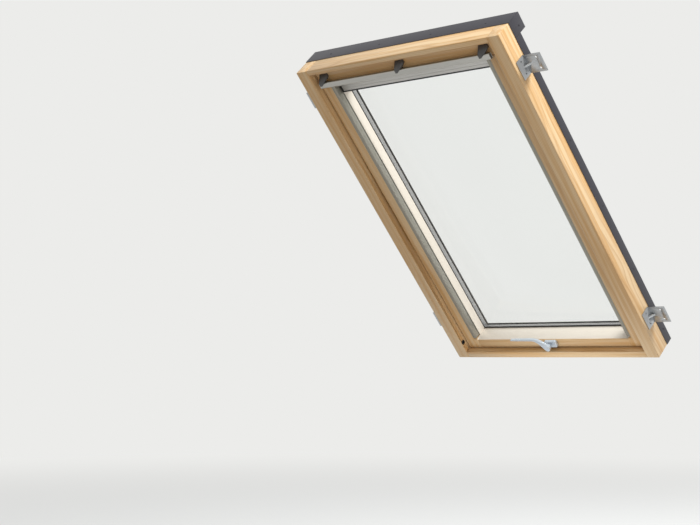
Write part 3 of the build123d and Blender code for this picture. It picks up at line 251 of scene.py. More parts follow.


# %% [markdown]
# ## Lacquered pine
#
# The frame and sash are laminated pine under a clear lacquer. Pine shows pale early wood
# with thin darker late-wood lines. A board is cut from a round trunk, so the lines are
# slices through rings: the distance from an imagined trunk centre, bent a little by slow
# noise along the grain, gives them. Fine fibres are noise that is stretched a hundred
# times along the grain, and broad streaks are the same at a larger scale. The timber is
# glued from layers about 29 mm thick, so each layer has its own tone and its own rings.
# A thin clear coat gives the soft shine of the lacquer.
#
# The grain follows the length of each piece, so there is one pine for pieces that run up
# the slope and one for pieces that run across. The sash gets a pine that turns almost white
# behind its room face, between the stiles and above the lock. This is painted light: the
# daylight from the sky on the faces beside the glass, painted into the colour of the wood.

# %% Pine along the slope and pine across
PINE_PALE = rgb("E2C59A")
PINE_WARM = rgb("D2A66C")
PINE_LATE = rgb("B27F45")
# Painted light: this pale tone and its share stand for daylight on the sash faces beside the glass.
PINE_SKYLIT = rgb("DDD7CD")
PAINTED_SKYLIGHT_SHARE = 0.86
LAYER = 0.0293
RING = 0.0046
TRUNK_SIDE = 0.045
TRUNK_DEPTH = 0.120
LATE_SHARE = 0.40
FIBRE_SHARE = 0.22
LAYER_SHARE = 0.14
ROOM_FACE_BAND = (0.0235, 0.0265)
GLASS_SIDE_BAND = (0.2945, 0.2965)
LOCK_BAND = (-0.5400, -0.5380)


def pine(name, across, painted_skylight=0.0):
    """Pine with its grain up the slope or across, with painted skylight beside the glass or not."""
    g = Finish(name)
    x, y, z = g.split(g.coords())
    along, side, depth = (x, z, y) if across else (z, x, y)
    layer = g.math("FLOOR", depth / LAYER)
    shift = g.node("ShaderNodeTexWhiteNoise", {"noise_dimensions": "1D"}, {"W": layer})
    wander = g.noise(g.join(side * 2.0, depth * 2.0 + shift * 3.0, along * 1.3), 1.7, 2.0) - 0.5
    a = side + TRUNK_SIDE + wander * 0.022 + shift * 0.02
    b = depth + TRUNK_DEPTH + wander * 0.014
    radius = g.math("SQRT", a * a + b * b)
    phase = g.math("FRACT", radius / RING)
    late = g.ramp(phase, 0.45, 0.93) * (1.0 - g.ramp(phase, 0.93, 1.0))
    fibre = g.noise(g.join(side * 900.0, depth * 900.0, along * 9.0), 1.0, 3.0, 0.6)
    streak = g.noise(g.join(side * 75.0, depth * 75.0 + shift * 9.0, along * 2.2), 1.0, 3.0)
    tone = g.blend(g.ramp(streak, 0.32, 0.70), PINE_PALE, PINE_WARM)
    tone = g.blend(late * LATE_SHARE, tone, PINE_LATE)
    tone = g.blend(g.ramp(fibre, 0.52, 0.85) * FIBRE_SHARE, tone, PINE_LATE)
    tone = g.blend(shift * LAYER_SHARE, tone, PINE_WARM)
    # Painted light: behind the room face, beside the glass and above the lock, the wood turns pale as if lit
    # by the sky.
    if painted_skylight:
        behind_face = g.ramp(y + ROOF_PLANE * MM, *ROOM_FACE_BAND)
        beside_glass = 1.0 - g.ramp(g.math("ABSOLUTE", x), *GLASS_SIDE_BAND)
        above_lock = g.ramp(z, *LOCK_BAND)
        tone = g.blend(behind_face * beside_glass * above_lock * painted_skylight, tone, PINE_SKYLIT)
    g.set(Base_Color=tone, Roughness=0.36 + fibre * 0.10, Coat_Weight=0.25, Coat_Roughness=0.20)
    g.bump(fibre, 0.12, 0.0004)
    return g.material


PINE_LONG = pine("pine_long", False)
PINE_CROSS = pine("pine_cross", True)
SASH_LONG = pine("sash_pine_long", False, PAINTED_SKYLIGHT_SHARE)
SASH_CROSS = pine("sash_pine_cross", True, PAINTED_SKYLIGHT_SHARE)
print("pine:", [m.name for m in (PINE_LONG, PINE_CROSS, SASH_LONG, SASH_CROSS)])

# %% [markdown]
# ## Metals, plastics, rubber and foam
#
# The rest are plain industrial finishes. Each gets a little unevenness so that it doesn't
# look like one flat colour: powder coat has a fine orange-peel bump, anodised aluminium
# has faint lines along the profile, moulded plastic has a slight grain. The top of the
# control bar is painted darker than its front: painted shade from the flap and head above.


# %% Plain finishes
# Painted shade: the darker colour of the top of the control bar.
PAINTED_SHADE_TOP = rgb("8F8672")


def moulded(name, colour, metallic=0.0, roughness=0.5, grain=0.05, scale=900.0, patch=0.06):
    g = Finish(name)
    speck = g.noise(g.coords(), scale, 2.0)
    cloud = g.noise(g.coords(), 14.0, 2.0)
    base = rgb(colour)
    deep = tuple(c * (1.0 - patch) for c in base[:3]) + (1.0,)
    g.set(Base_Color=g.blend(cloud, base, deep), Metallic=metallic)
    g.set(Roughness=roughness + (cloud - 0.5) * patch)
    g.bump(speck, grain, 0.0003)
    return g.material


def extruded(name, colour, roughness, metallic, upright=False, painted_shade_above=None):
    """Anodised aluminium profile: faint die lines along its length."""
    g = Finish(name)
    x, y, z = g.split(g.coords())
    along, side = (z, x) if upright else (x, z)
    lines = g.noise(g.join(along * 1.5, y * 1800.0, side * 1800.0), 1.0, 2.0)
    base = rgb(colour)
    deep = tuple(c * 0.86 for c in base[:3]) + (1.0,)
    tone = g.blend(lines, base, deep)
    # Painted shade: above this height the profile turns to the darker top colour.
    if painted_shade_above:
        top = g.ramp(z, painted_shade_above - 0.0015, painted_shade_above)
        tone = g.blend(top, tone, PAINTED_SHADE_TOP)
    g.set(Base_Color=tone, Metallic=metallic)
    g.set(Roughness=roughness + (lines - 0.5) * 0.12)
    g.bump(lines, 0.10, 0.0002)
    return g.material


DARK_COVER = moulded("dark_cover", "45444A", metallic=0.30, roughness=0.46, grain=0.10)
LIGHT_STRIP = moulded("light_strip", "CFD0D0", roughness=0.45)
ZINC = moulded("zinc", "B4B6B8", metallic=1.0, roughness=0.34, grain=0.08, scale=400.0, patch=0.12)
BLACK_PLASTIC = moulded("black_plastic", "2A2A2B", roughness=0.45, grain=0.10)
GREY_PLASTIC = moulded("grey_plastic", "4E4D4C", roughness=0.42, grain=0.08)
CHANNEL = extruded("channel", "A39F94", 0.40, 0.60, upright=True)
PULL_BAR = extruded("pull_bar", "D2D0CC", 0.40, 0.60)
# The top of the bar gets painted shade.
BAR = extruded("bar", "C2C0BA", 0.36, 0.70, painted_shade_above=0.5380)
SILVER = moulded("silver", "C9D1D9", metallic=0.45, roughness=0.28, grain=0.04)
RUBBER = moulded("rubber_seal", "1D1D1E", roughness=0.60, grain=0.10)
SPACER = moulded("spacer", "ABAAA9", metallic=0.5, roughness=0.42)
CLOTH = moulded("blind_cloth", "C6C6CA", roughness=0.85, grain=0.3, scale=2500.0)
FOAM = moulded("foam", "3B3B3D", roughness=0.95, grain=0.6, scale=1200.0, patch=0.25)
print("plain finishes ready")

# %% [markdown]
# ## Clear glass
#
# Real insulating glass lets nearly all light through and reflects a little more at a
# shallow angle. A Transparent shader does the first without bending the view, and a
# mirror-like shader adds the second. How much it adds follows Schlick's formula, from the
# angle between the view and the surface. That angle is the same on both faces of a pane,
# which a Fresnel node isn't: on the way out it would turn the glass into a mirror. The
# tint is very weak, because each of the four surfaces darkens what is seen through it.


# %% Glass
MIRROR_HEAD_ON = 0.04
MIRROR_SHARE = 0.5


def window_glass():
    g = Finish("window_glass")
    clear = g.node("ShaderNodeBsdfTransparent", None, {"Color": (0.994, 0.998, 0.996, 1.0)})
    turned = g.node("ShaderNodeLayerWeight", None, {"Blend": 0.5}, out="Facing")
    grazing = g.math("POWER", turned, 5.0)
    mirror = (MIRROR_HEAD_ON + grazing * (1.0 - MIRROR_HEAD_ON)) * MIRROR_SHARE
    g.set(Base_Color=(1.0, 1.0, 1.0, 1.0), Metallic=1.0, Roughness=0.02)
    gloss = Sock(g, g.shader.outputs["BSDF"])
    g.surface(g.node("ShaderNodeMixShader", None, {0: mirror, 1: clear, 2: gloss}))
    return g.material


GLASS = window_glass()

# %% [markdown]
# ## Which solid gets which finish, and how its edges are broken
#
# No real edge is perfectly sharp: timber is sanded, sheet is folded or deburred, glass is
# ground. A narrow rounded edge catches the light, and without it a render looks like
# paper. The solids come as loose triangles, so each is copied, its points are merged and
# its flat faces joined, and a Bevel modifier rounds every outer edge that turns by more
# than 40 degrees. Inner corners stay sharp, so nothing grows into a hole or a groove. The
# copy then stands for the solid, in the same place and on the same body. The lever, the
# brackets of the control bar and the screws of the frame are made anew further down.
#
# The number is the width of the rounding in millimetres.

# %% Finish and edge width per node
FINISHES = [
    (PINE_LONG, 0.9, "frame_jamb_left frame_jamb_right"),
    (PINE_CROSS, 0.9, "frame_head frame_sill vent_flap"),
    (SASH_LONG, 0.9, "sash_stile_left sash_stile_right"),
    (SASH_CROSS, 0.9, "sash_top_rail sash_bottom_rail"),
    (DARK_COVER, 0.4, "frame_covers_side frame_cover_bottom hood hood_ends arm_covers roll_cover"),
    (DARK_COVER, 0.4, "cross_rail sash_cladding_left sash_cladding_right sash_cladding_low"),
    (DARK_COVER, 0.4, "sash_cladding_bottom sash_cladding_top"),
    (LIGHT_STRIP, 0.3, "jamb_liners side_liners"),
    (ZINC, 0.35, "sill_keeps hinge_brackets roof_brackets_top roof_brackets_bottom"),
    (ZINC, 0.35, "hinge_arm_left hinge_arm_right hinge_pins pivot_pins latch_keep lock_housing"),
    (ZINC, 0.25, "lock_faceplate lock_rod top_latch barrel_bolt flap_hinge_fixed flap_hinge_moving"),
    (BLACK_PLASTIC, 0.4, "bolt_bush pivot_blocks bolt_housing latch_housing pull_bar_ends"),
    (SILVER, 0.5, "handle_base"),
    (CHANNEL, 0.25, "side_channels"),
    (PULL_BAR, 0.25, "blind_cassette pull_bar"),
    (BAR, 0.3, "control_bar"),
    (RUBBER, 0.4, "glazing_seal sash_seal"),
    (SPACER, 0.3, "pane_spacer"),
    (CLOTH, 0.3, "blind_roll"),
    (FOAM, 0.8, "air_filter"),
    (GLASS, 0.5, "pane_inner pane_outer"),
]
SHARP = math.radians(40.0)
FLAT = math.radians(0.5)
WELD = 1e-6

# %% [markdown]
# A few edges of the sash lie a little off the photo: the pane starts 8 mm lower, the slope
# of the bottom rail is flatter, the foot of the sash stands closer to the sill, the black
# lip of the blind's bar is taller, the lever's base is narrower and the outer seal hides
# behind the cladding. The copies are refitted before their edges are rounded: each rule
# names an axis, the band of local millimetres in which points move, how far they move, and
# the depth behind which the rule holds.

# %% Refits of the copies
AXES = ((1.0, 0.0, 0.0), (0.0, 1.0, 0.0), (0.0, 0.0, 1.0))
ACROSS, DEPTH, SLOPE = 0, 1, 2
ANY = -99.0
OUTER = 100.0
LOW_FOOT = (SLOPE, -566.0, -559.9, -1.5, ANY)
LOW_PANE = (SLOPE, -560.0, -500.0, -8.0, ANY)
RAIL_EDGE = (SLOPE, -519.5, -518.0, -8.0, ANY)
RAIL_REBATE = (SLOPE, -536.0, -534.5, -8.0, ANY)
TALL_LIP = (SLOPE, 475.0, 478.5, 2.0, ANY)
REFITS = {
    "sash_bottom_rail": [LOW_FOOT, RAIL_EDGE, RAIL_REBATE],
    "sash_stile_left": [LOW_FOOT],
    "sash_stile_right": [LOW_FOOT],
    "lock_faceplate": [LOW_FOOT],
    "sash_cladding_bottom": [(SLOPE, -524.5, -520.0, -8.0, ANY)],
    "pane_inner": [LOW_PANE],
    "pane_outer": [LOW_PANE],
    "pane_spacer": [LOW_PANE],
    "glazing_seal": [
        LOW_PANE,
        (SLOPE, -528.0, -526.0, -3.2, OUTER),
        (SLOPE, 485.0, 487.0, 3.2, OUTER),
        (ACROSS, -295.0, -293.0, -3.2, OUTER),
        (ACROSS, 293.0, 295.0, 3.2, OUTER),
    ],
    "pull_bar": [TALL_LIP],
    "pull_bar_ends": [TALL_LIP],
    "handle_base": [(ACROSS, 25.0, 36.0, -9.0, ANY), (ACROSS, -22.0, -12.0, -1.0, ANY)],
}

# Thin walls beside the bolt's recess and round the bush are left sharp.
CRISP = {
    "sash_stile_left": ((-345.0, -290.0), (40.0, 62.0), (515.0, 572.0)),
    "frame_jamb_left": ((-395.0, -346.0), (-1.0, 40.0), (-560.0, -480.0)),
}


def new_piece(name, mesh, body):
    """A finished piece at the origin, riding on a body."""
    piece = bpy.data.objects.new(name, mesh)
    bpy.context.scene.collection.objects.link(piece)
    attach(piece, body)
    return piece


def evaluated_mesh(piece):
    """The mesh that the modifiers give, as plain data."""
    graph = bpy.context.evaluated_depsgraph_get()
    return bpy.data.meshes.new_from_object(piece.evaluated_get(graph))


def merged_copy(node):
    """The node's mesh with its points merged and its flat faces joined."""
    mesh = bpy.data.meshes.new(f"{node}_merged")
    work = bmesh.new()
    work.from_mesh(NODES[node].data)
    bmesh.ops.remove_doubles(work, verts=work.verts, dist=WELD)
    bmesh.ops.dissolve_limit(work, angle_limit=FLAT, verts=work.verts, edges=work.edges)
    for axis, low, high, shift, behind in REFITS.get(node, ()):
        push = place(*(shift * unit for unit in AXES[axis])) - place(0, 0, 0)
        for point in work.verts:
            here = local(point.co)
            if low < here[axis] < high and here[DEPTH] > behind:
                point.co += push
    work.to_mesh(mesh)
    work.free()
    return mesh


def within(point, box):
    return all(low < value < high for value, (low, high) in zip(point, box))


def mark_edges(mesh, crisp):
    """Give every sharp outer edge outside the crisp box a bevel weight."""
    work = bmesh.new()
    work.from_mesh(mesh)
    weight = work.edges.layers.float.new("bevel_weight_edge")
    for edge in work.edges:
        middle = local((edge.verts[0].co + edge.verts[1].co) / 2)
        outer = len(edge.link_faces) == 2 and edge.is_convex and edge.calc_face_angle() > SHARP
        if outer and not (crisp and within(middle, crisp)):
            edge[weight] = 1.0
    work.to_mesh(mesh)
    work.free()


def softened(mesh, width, material, clamp=False, crisp=None):
    """The mesh with its sharp edges broken, smooth shaded and painted."""
    mark_edges(mesh, crisp)
    piece = bpy.data.objects.new("work", mesh)
    bpy.context.scene.collection.objects.link(piece)
    bevel = piece.modifiers.new("edges", "BEVEL")
    bevel.width = width * MM
    bevel.segments = 2
    bevel.limit_method = "WEIGHT"
    bevel.use_clamp_overlap = clamp
    done = evaluated_mesh(piece)
    bpy.data.objects.remove(piece)
    done.materials.clear()
    done.materials.append(material)
    done.shade_smooth()
    done.set_sharp_from_angle(angle=SHARP)
    return done


def stand_in(node, mesh):
    """A finished piece on the body of a solid, in its place."""
    piece = new_piece(f"{node}_finished", mesh, NODES[node]["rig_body"])
    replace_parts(piece, node)
    return piece


# %% Round every solid
finished = {}
for material, width, names in FINISHES:
    for name in names.split():
        soft = softened(merged_copy(name), width, material, crisp=CRISP.get(name))
        finished[name] = stand_in(name, soft)
print("rounded", len(finished), "solids,", sum(len(p.data.polygons) for p in finished.values()), "faces")

# %% [markdown]
# ## The lever and the three brackets of the control bar
#
# These two are the mouldings that the eye goes to, and the photo shows them larger and
# clearer than anything else, so they are drawn again here from outlines.
#
# The lever is one casting. Its arm leaves the round hub, swings up in an S and runs out
# level in a slim grip. The middle line is a Bezier curve with four control points. Points
# on both sides of it give the outline, with a half width that falls from the hub's radius
# to the grip's in an even ease.

# %% Outlines and prisms
HUB_RADIUS = 9.5
NECK_RADIUS = 7.5
GRIP_REACH = 126.0
GRIP_RISE = 38.0
CRANK_REACH = 32.0
GRIP_HALF = 3.2
TIP_HALF = 2.0
CURVE_STEPS = 18
HUB_STEPS = 12
TIP_STEPS = 8
NECK_SIDES = 48
NECK_OVERLAP = 0.5
LEVER_FRONT = -10.3
LEVER_BACK = 11.7
LEVER_THICK = 9.0


def arc(centre, radius, start, end, steps):
    """Points on an arc, both ends included; angles in degrees."""
    turns = [math.radians(start + (end - start) * i / steps) for i in range(steps + 1)]
    return [(centre[0] + radius * math.cos(a), centre[1] + radius * math.sin(a)) for a in turns]


def add_prism(work, outline, axis, low, high):
    """Push an outline along x (outline is y, z) or along y (outline is x, z)."""
    ends = []
    for depth in (low, high):
        corners = [(depth, p, q) if axis == "x" else (p, depth, q) for p, q in outline]
        ends.append([work.verts.new(place(*corner)) for corner in corners])
    faces = [work.faces.new(ends[0]), work.faces.new(ends[1])]
    for i in range(len(outline)):
        j = (i + 1) % len(outline)
        faces.append(work.faces.new((ends[0][i], ends[0][j], ends[1][j], ends[1][i])))
    bmesh.ops.recalc_face_normals(work, faces=faces)


def prism_mesh(name, parts):
    """One mesh of several prisms."""
    work = bmesh.new()
    for part in parts:
        add_prism(work, *part)
    mesh = bpy.data.meshes.new(name)
    work.to_mesh(mesh)
    work.free()
    return mesh


def lever_sides():
    """Upper and lower side of the arm, from the hub to the grip."""
    guides = [(0, 0), (-0.4 * CRANK_REACH, 0.6 * GRIP_RISE), (-0.75 * CRANK_REACH, GRIP_RISE)]
    guides.append((-1.5 * CRANK_REACH, GRIP_RISE))
    upper, lower = [], []
    for step in range(CURVE_STEPS + 1):
        t = step / CURVE_STEPS
        u = 1.0 - t
        weights = (u**3, 3 * u * u * t, 3 * u * t * t, t**3)
        slopes = (-3 * u * u, 3 * u * u - 6 * u * t, 6 * u * t - 3 * t * t, 3 * t * t)
        x, z = [sum(w * p[i] for w, p in zip(weights, guides)) for i in (0, 1)]
        dx, dz = [sum(w * p[i] for w, p in zip(slopes, guides)) for i in (0, 1)]
        half = GRIP_HALF + (HUB_RADIUS - GRIP_HALF) * (1 - 3 * t * t + 2 * t**3)
        half /= math.hypot(dx, dz)
        upper.append((x + half * dz, z - half * dx))
        lower.append((x - half * dz, z + half * dx))
    return upper, lower


# %% The lever
upper, lower = lever_sides()
start = math.degrees(math.atan2(lower[0][1], lower[0][0]))
hub_back = arc((0, 0), HUB_RADIUS, start, start + 180.0, HUB_STEPS)[1:-1]
tip = arc((-GRIP_REACH, GRIP_RISE), TIP_HALF, 90.0, 270.0, TIP_STEPS)
outline = upper + tip + lower[::-1] + hub_back
plan = [(x, z + Z_LEVER) for x, z in outline]
neck = arc((0, Z_LEVER), NECK_RADIUS, 0.0, 360.0 - 360.0 / NECK_SIDES, NECK_SIDES - 1)
lever = prism_mesh(
    "lever",
    [
        (plan, "y", LEVER_FRONT, LEVER_FRONT + LEVER_THICK),
        (neck, "y", LEVER_FRONT + LEVER_THICK - NECK_OVERLAP, LEVER_BACK),
    ],
)
finished["handle_lever"] = stand_in("handle_lever", softened(lever, 0.8, SILVER, clamp=True))
print("lever outline has", len(plan), "points")

# %% [markdown]
# Each bracket is a moulding that grows from the flap, reaches over the bar and hooks down
# in front of it. From the side it is a hooked wedge, and from the front it has a straight
# left edge and a slanting right one. The body that has both outlines is the part that two
# prisms share, so it is made by an exact Boolean.

# %% The brackets
BAR_FRONT = 2.0
BAR_BACK = 14.0
Z_BAR_TOP = 538.6
SKIN = 2.0
LEFT_REACH = 18.0
RIGHT_REACH = 16.0
ROOT_TOP = 22.0
ROOT_FOOT = -7.0
BACK_FOOT = -9.0
HOOK_FOOT = -10.0
HOOK_WIDTH = 5.8
MARGIN = 1.0
BRACKET_PLACES = (-X_BAR + 3.0 + LEFT_REACH, 0.0, X_BAR - 3.0 - RIGHT_REACH)


def shared_part(first, second):
    """Exact Boolean intersection of two meshes."""
    a = bpy.data.objects.new("first", first)
    b = bpy.data.objects.new("second", second)
    for piece in (a, b):
        bpy.context.scene.collection.objects.link(piece)
    cut = a.modifiers.new("shared", "BOOLEAN")
    cut.operation = "INTERSECT"
    cut.solver = "EXACT"
    cut.object = b
    mesh = evaluated_mesh(a)
    bpy.data.objects.remove(a)
    bpy.data.objects.remove(b)
    return mesh


def bracket(centre):
    """One bracket as plain data, at its place along the bar."""
    z = Z_BAR_TOP
    side = [
        (Y_FACE, z + ROOT_TOP),
        (Y_FACE, z + ROOT_FOOT),
        (BAR_BACK, z + BACK_FOOT),
        (BAR_BACK, z),
        (BAR_FRONT, z),
        (BAR_FRONT, z + HOOK_FOOT),
        (BAR_FRONT - SKIN, z + HOOK_FOOT),
        (BAR_FRONT - SKIN, z + 1.0),
        (BAR_FRONT + 5.0, z + 8.0),
    ]
    left, right = centre - LEFT_REACH, centre + RIGHT_REACH
    over, under = z + (ROOT_TOP + MARGIN), z + (HOOK_FOOT - MARGIN)
    front = [(left, over), (left, under), (left + HOOK_WIDTH, under), (centre + 5.0, z + 1.0)]
    front += [(right, z + 12.0), (right, over)]
    hooked = prism_mesh("hooked", [(side, "x", left - MARGIN, right + MARGIN)])
    slanted = prism_mesh("slanted", [(front, "y", BAR_FRONT - SKIN - MARGIN, Y_FACE + MARGIN)])
    return shared_part(hooked, slanted)


work = bmesh.new()
for centre in BRACKET_PLACES:
    work.from_mesh(bracket(centre))
brackets = bpy.data.meshes.new("brackets")
work.to_mesh(brackets)
work.free()
finished["bar_brackets"] = stand_in("bar_brackets", softened(brackets, 0.8, GREY_PLASTIC, clamp=True))
print("brackets:", len(finished["bar_brackets"].data.polygons), "faces")

# %% [markdown]
# ## The lip of the inner gasket
#
# The inner gasket shows as a thin black line where the wood meets the glass. It is a bead
# of rubber with a soft lip, taller at the foot, where the black band is partly the rubber
# and partly painted shade along the foot of the glass. It runs round the opening as a mitred frame.

# %% Gasket lip
X_DAY = 294.0
Z_DAY_FOOT = -527.0
Z_DAY_TOP = 486.0
LIP_SIDE = 1.0
# The taller foot is partly painted shade along the foot of the glass.
LIP_FOOT = 4.2
LIP_DEEP = 1.6


def lip_frame():
    """Four mitred strips just inside the opening, in front of the glass."""
    outer = [(-X_DAY, Z_DAY_FOOT), (X_DAY, Z_DAY_FOOT), (X_DAY, Z_DAY_TOP), (-X_DAY, Z_DAY_TOP)]
    x, foot, top = X_DAY - LIP_SIDE, Z_DAY_FOOT + LIP_FOOT, Z_DAY_TOP - LIP_SIDE
    inner = [(-x, foot), (x, foot), (x, top), (-x, top)]
    strips = []
    for i in range(4):
        j = (i + 1) % 4
        strips.append(([outer[i], outer[j], inner[j], inner[i]], "y", Y_UNIT - LIP_DEEP, Y_UNIT))
    return prism_mesh("gasket_lip", strips)


lip = new_piece("gasket_lip", softened(lip_frame(), 0.4, RUBBER), "sash")
print("gasket lip:", len(lip.data.polygons), "faces")

# %% [markdown]
# ## Screws
#
# A window like this is held together by pan-head screws with a cross recess. They repeat
# many times, so Geometry Nodes make them: a mesh of bare points says where each screw
# sits, and a vector on each point says which way it faces. The tree builds one head,
# cuts the recess, puts it on every point, turns each by a random angle from a fixed seed,
# and ends in real geometry with its material. One mesh is baked for each body, because a
# mesh can ride on one body only.

# %% Geometry tree for a set of screws
HEAD_SIDES = 20
RECESS_WIDTH_SHARE = 0.24
RECESS_DEPTH_SHARE = 0.55
HEAD_TOP_SHARE = 0.68
SPIN_SEED = 11


def geometry_tree(name, inputs):
    """Empty tree with geometry in and out and named number inputs."""
    tree = bpy.data.node_groups.new(name, "GeometryNodeTree")
    tree.interface.new_socket("Geometry", in_out="INPUT", socket_type="NodeSocketGeometry")
    for label, kind in inputs:
        tree.interface.new_socket(label, in_out="INPUT", socket_type=kind)
    tree.interface.new_socket("Geometry", in_out="OUTPUT", socket_type="NodeSocketGeometry")
    net = Net(tree)
    source = tree.nodes.new("NodeGroupInput")
    given = {socket.name: Sock(net, socket) for socket in source.outputs if socket.name}
    return net, given


def close_tree(net, geometry, material):
    """Real geometry with its material as the tree's result."""
    real = net.node("GeometryNodeRealizeInstances", None, {0: geometry})
    painted = net.node("GeometryNodeSetMaterial", None, {"Geometry": real, "Material": material})
    sink = net.tree.nodes.new("NodeGroupOutput")
    net.feed(sink.inputs[0], painted)
    return net.tree


def screw_tree():
    net, given = geometry_tree(
        "screw_set",
        [
            ("Head Radius", "NodeSocketFloat"),
            ("Head Height", "NodeSocketFloat"),
            ("Material", "NodeSocketMaterial"),
        ],
    )
    radius, height = given["Head Radius"], given["Head Height"]
    head = net.node(
        "GeometryNodeMeshCone",
        None,
        {
            "Vertices": HEAD_SIDES,
            "Radius Top": radius * HEAD_TOP_SHARE,
            "Radius Bottom": radius,
            "Depth": height,
        },
    )
    arms = []
    for long_x, long_y in ((1.15, RECESS_WIDTH_SHARE), (RECESS_WIDTH_SHARE, 1.15)):
        size = net.node("ShaderNodeCombineXYZ", None, {0: radius * long_x, 1: radius * long_y, 2: height})
        arms.append(net.node("GeometryNodeMeshCube", None, {"Size": size}))
    cross = net.tree.nodes.new("GeometryNodeJoinGeometry")
    for arm in arms:
        net.feed(cross.inputs[0], arm)
    lift = net.node("ShaderNodeCombineXYZ", None, {2: height * (1.5 - RECESS_DEPTH_SHARE)})
    raised = net.node(
        "GeometryNodeTransform", None, {"Geometry": Sock(net, cross.outputs[0]), "Translation": lift}
    )
    cut = net.node(
        "GeometryNodeMeshBoolean", {"operation": "DIFFERENCE"}, {"Mesh 1": head, "Mesh 2": raised}
    )
    axis = net.node("GeometryNodeInputNamedAttribute", {"data_type": "FLOAT_VECTOR"}, {"Name": "axis"})
    facing = net.node("FunctionNodeAlignRotationToVector", {"axis": "Z"}, {"Vector": axis})
    turn = net.node(
        "FunctionNodeRandomValue", {"data_type": "FLOAT"}, {2: 0.0, 3: math.pi / 2, "Seed": SPIN_SEED}, out=1
    )
    spin = net.node("FunctionNodeAxisAngleToRotation", None, {"Axis": (0.0, 0.0, 1.0), "Angle": turn})
    rotation = net.node(
        "FunctionNodeRotateRotation", {"rotation_space": "LOCAL"}, {"Rotation": facing, "Rotate By": spin}
    )
    placed = net.node(
        "GeometryNodeInstanceOnPoints",
        None,
        {"Points": given["Geometry"], "Instance": cut, "Rotation": rotation},
    )
    return close_tree(net, placed, given["Material"])


SCREW_TREE = screw_tree()
print("screw tree has", len(SCREW_TREE.nodes), "nodes")


# %% [markdown]
# ### Where the screws sit
#
# Each set is a list of local points and the direction that the head faces. The heads on
# the roof brackets and the hinge leaves stand where the solids have plain discs, which
# they replace. The rest hold the covers, the keeps and the lock plate, and are let in, so
# that nothing rubs when the window moves.


# %% Bake one set of screws
def baked(name, tree, mesh, values):
    """What a tree makes of a mesh, as a plain mesh."""
    seed = bpy.data.objects.new(f"{name}_seed", mesh)
    bpy.context.scene.collection.objects.link(seed)
    modifier = seed.modifiers.new("grow", "NODES")
    modifier.node_group = tree
    for item in tree.interface.items_tree:
        if item.item_type == "SOCKET" and item.in_out == "INPUT" and item.name in values:
            modifier[item.identifier] = values[item.name]
    result = evaluated_mesh(seed)
    bpy.data.objects.remove(seed)
    return result


def grown(name, tree, points, axes, values, body):
    """Run a tree on a cloud of local points and bake it to a finished piece."""
    cloud = bpy.data.meshes.new(f"{name}_points")
    cloud.from_pydata([place(*point) for point in points], [], [])
    facing = cloud.attributes.new("axis", "FLOAT_VECTOR", "POINT")
    for item, axis in zip(facing.data, axes):
        item.vector = aim(*axis)
    mesh = baked(name, tree, cloud, values)
    for attribute in [a.name for a in mesh.attributes if a.name == "axis"]:
        mesh.attributes.remove(mesh.attributes[attribute])
    return new_piece(name, mesh, body)


def screws(name, sites, radius, height, body, material=ZINC, sink=0.0):
    """A set of screw heads: sites are (local point, local direction)."""
    points = [tuple(p - sink * d for p, d in zip(point, axis)) for point, axis in sites]
    axes = [axis for point, axis in sites]
    values = {"Head Radius": radius * MM, "Head Height": height * MM, "Material": material}
    piece = grown(name, SCREW_TREE, points, axes, values, body)
    print(name, len(sites), "screws,", len(piece.data.polygons), "faces")
    return piece


# %% [markdown]
# The roof brackets are screwed to the jambs from the side, and the hinge leaves from
# outside. These heads are the largest.

# %% Screws on the brackets and hinge leaves
OUT = (0.0, 1.0, 0.0)
UP = (0.0, 0.0, 1.0)
DOWN = (0.0, 0.0, -1.0)
BRACKET_X = HALF_W + 2.5
BRACKET_SCREW_Y = 32.0
BRACKET_CENTRES = (-460.0, 460.0)
BRACKET_SCREW_HALF = 20.0
LEAF_X = 372.2
LEAF_Y = 91.0
LEAF_ROW_Z = (556.0, 578.0)

bracket_sites = []
for side in (-1.0, 1.0):
    for centre in BRACKET_CENTRES:
        for dz in (-BRACKET_SCREW_HALF, BRACKET_SCREW_HALF):
            bracket_sites.append(((side * BRACKET_X, BRACKET_SCREW_Y, centre + dz), (side, 0.0, 0.0)))
    for z in LEAF_ROW_Z:
        bracket_sites.append(((side * LEAF_X, LEAF_Y, z), OUT))
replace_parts(screws("bracket_screws", bracket_sites, 4.0, 1.8, "frame"), "frame_screws")

# %% [markdown]
# The covers are fixed with small dark screws along their edges, a hand's width or two
# apart, so that the sheet can't rattle in the wind.

# %% Screws in the covers
COVER_ROW_Y = 76.0
COVER_ROW_Z = (-540.0, -300.0, -60.0, 180.0, 420.0)
COVER_ROW_X = (-300.0, -100.0, 100.0, 300.0)
HOOD_END_Y = 96.0
HOOD_END_Z = 560.0
HOOD_BACK_Y = 84.0
CLADDING_X = 318.0
CLADDING_ROW_Z = (-480.0, -380.0, -230.0, -80.0, 90.0, 260.0, 430.0)
CLADDING_ROW_X = (-240.0, -80.0, 80.0, 240.0)
CLADDING_FOOT_Z = -552.0
CLADDING_HEAD_Z = 506.0
ARM_COVER_X = 352.0
ARM_COVER_Y = 103.0
ARM_COVER_ROW_Z = (80.0, 250.0, 420.0)

cover_sites = []
for side in (-1.0, 1.0):
    for z in COVER_ROW_Z:
        cover_sites.append(((side * (HALF_W + COVER), COVER_ROW_Y, z), (side, 0.0, 0.0)))
    cover_sites.append(((side * (HALF_W + COVER), HOOD_END_Y, HOOD_END_Z), (side, 0.0, 0.0)))
for x in COVER_ROW_X:
    cover_sites.append(((x, COVER_ROW_Y, -HALF_H - COVER), DOWN))
    cover_sites.append(((x, HOOD_BACK_Y, HALF_H + COVER), UP))
screws("cover_screws", cover_sites, 3.2, 1.3, "frame", DARK_COVER)

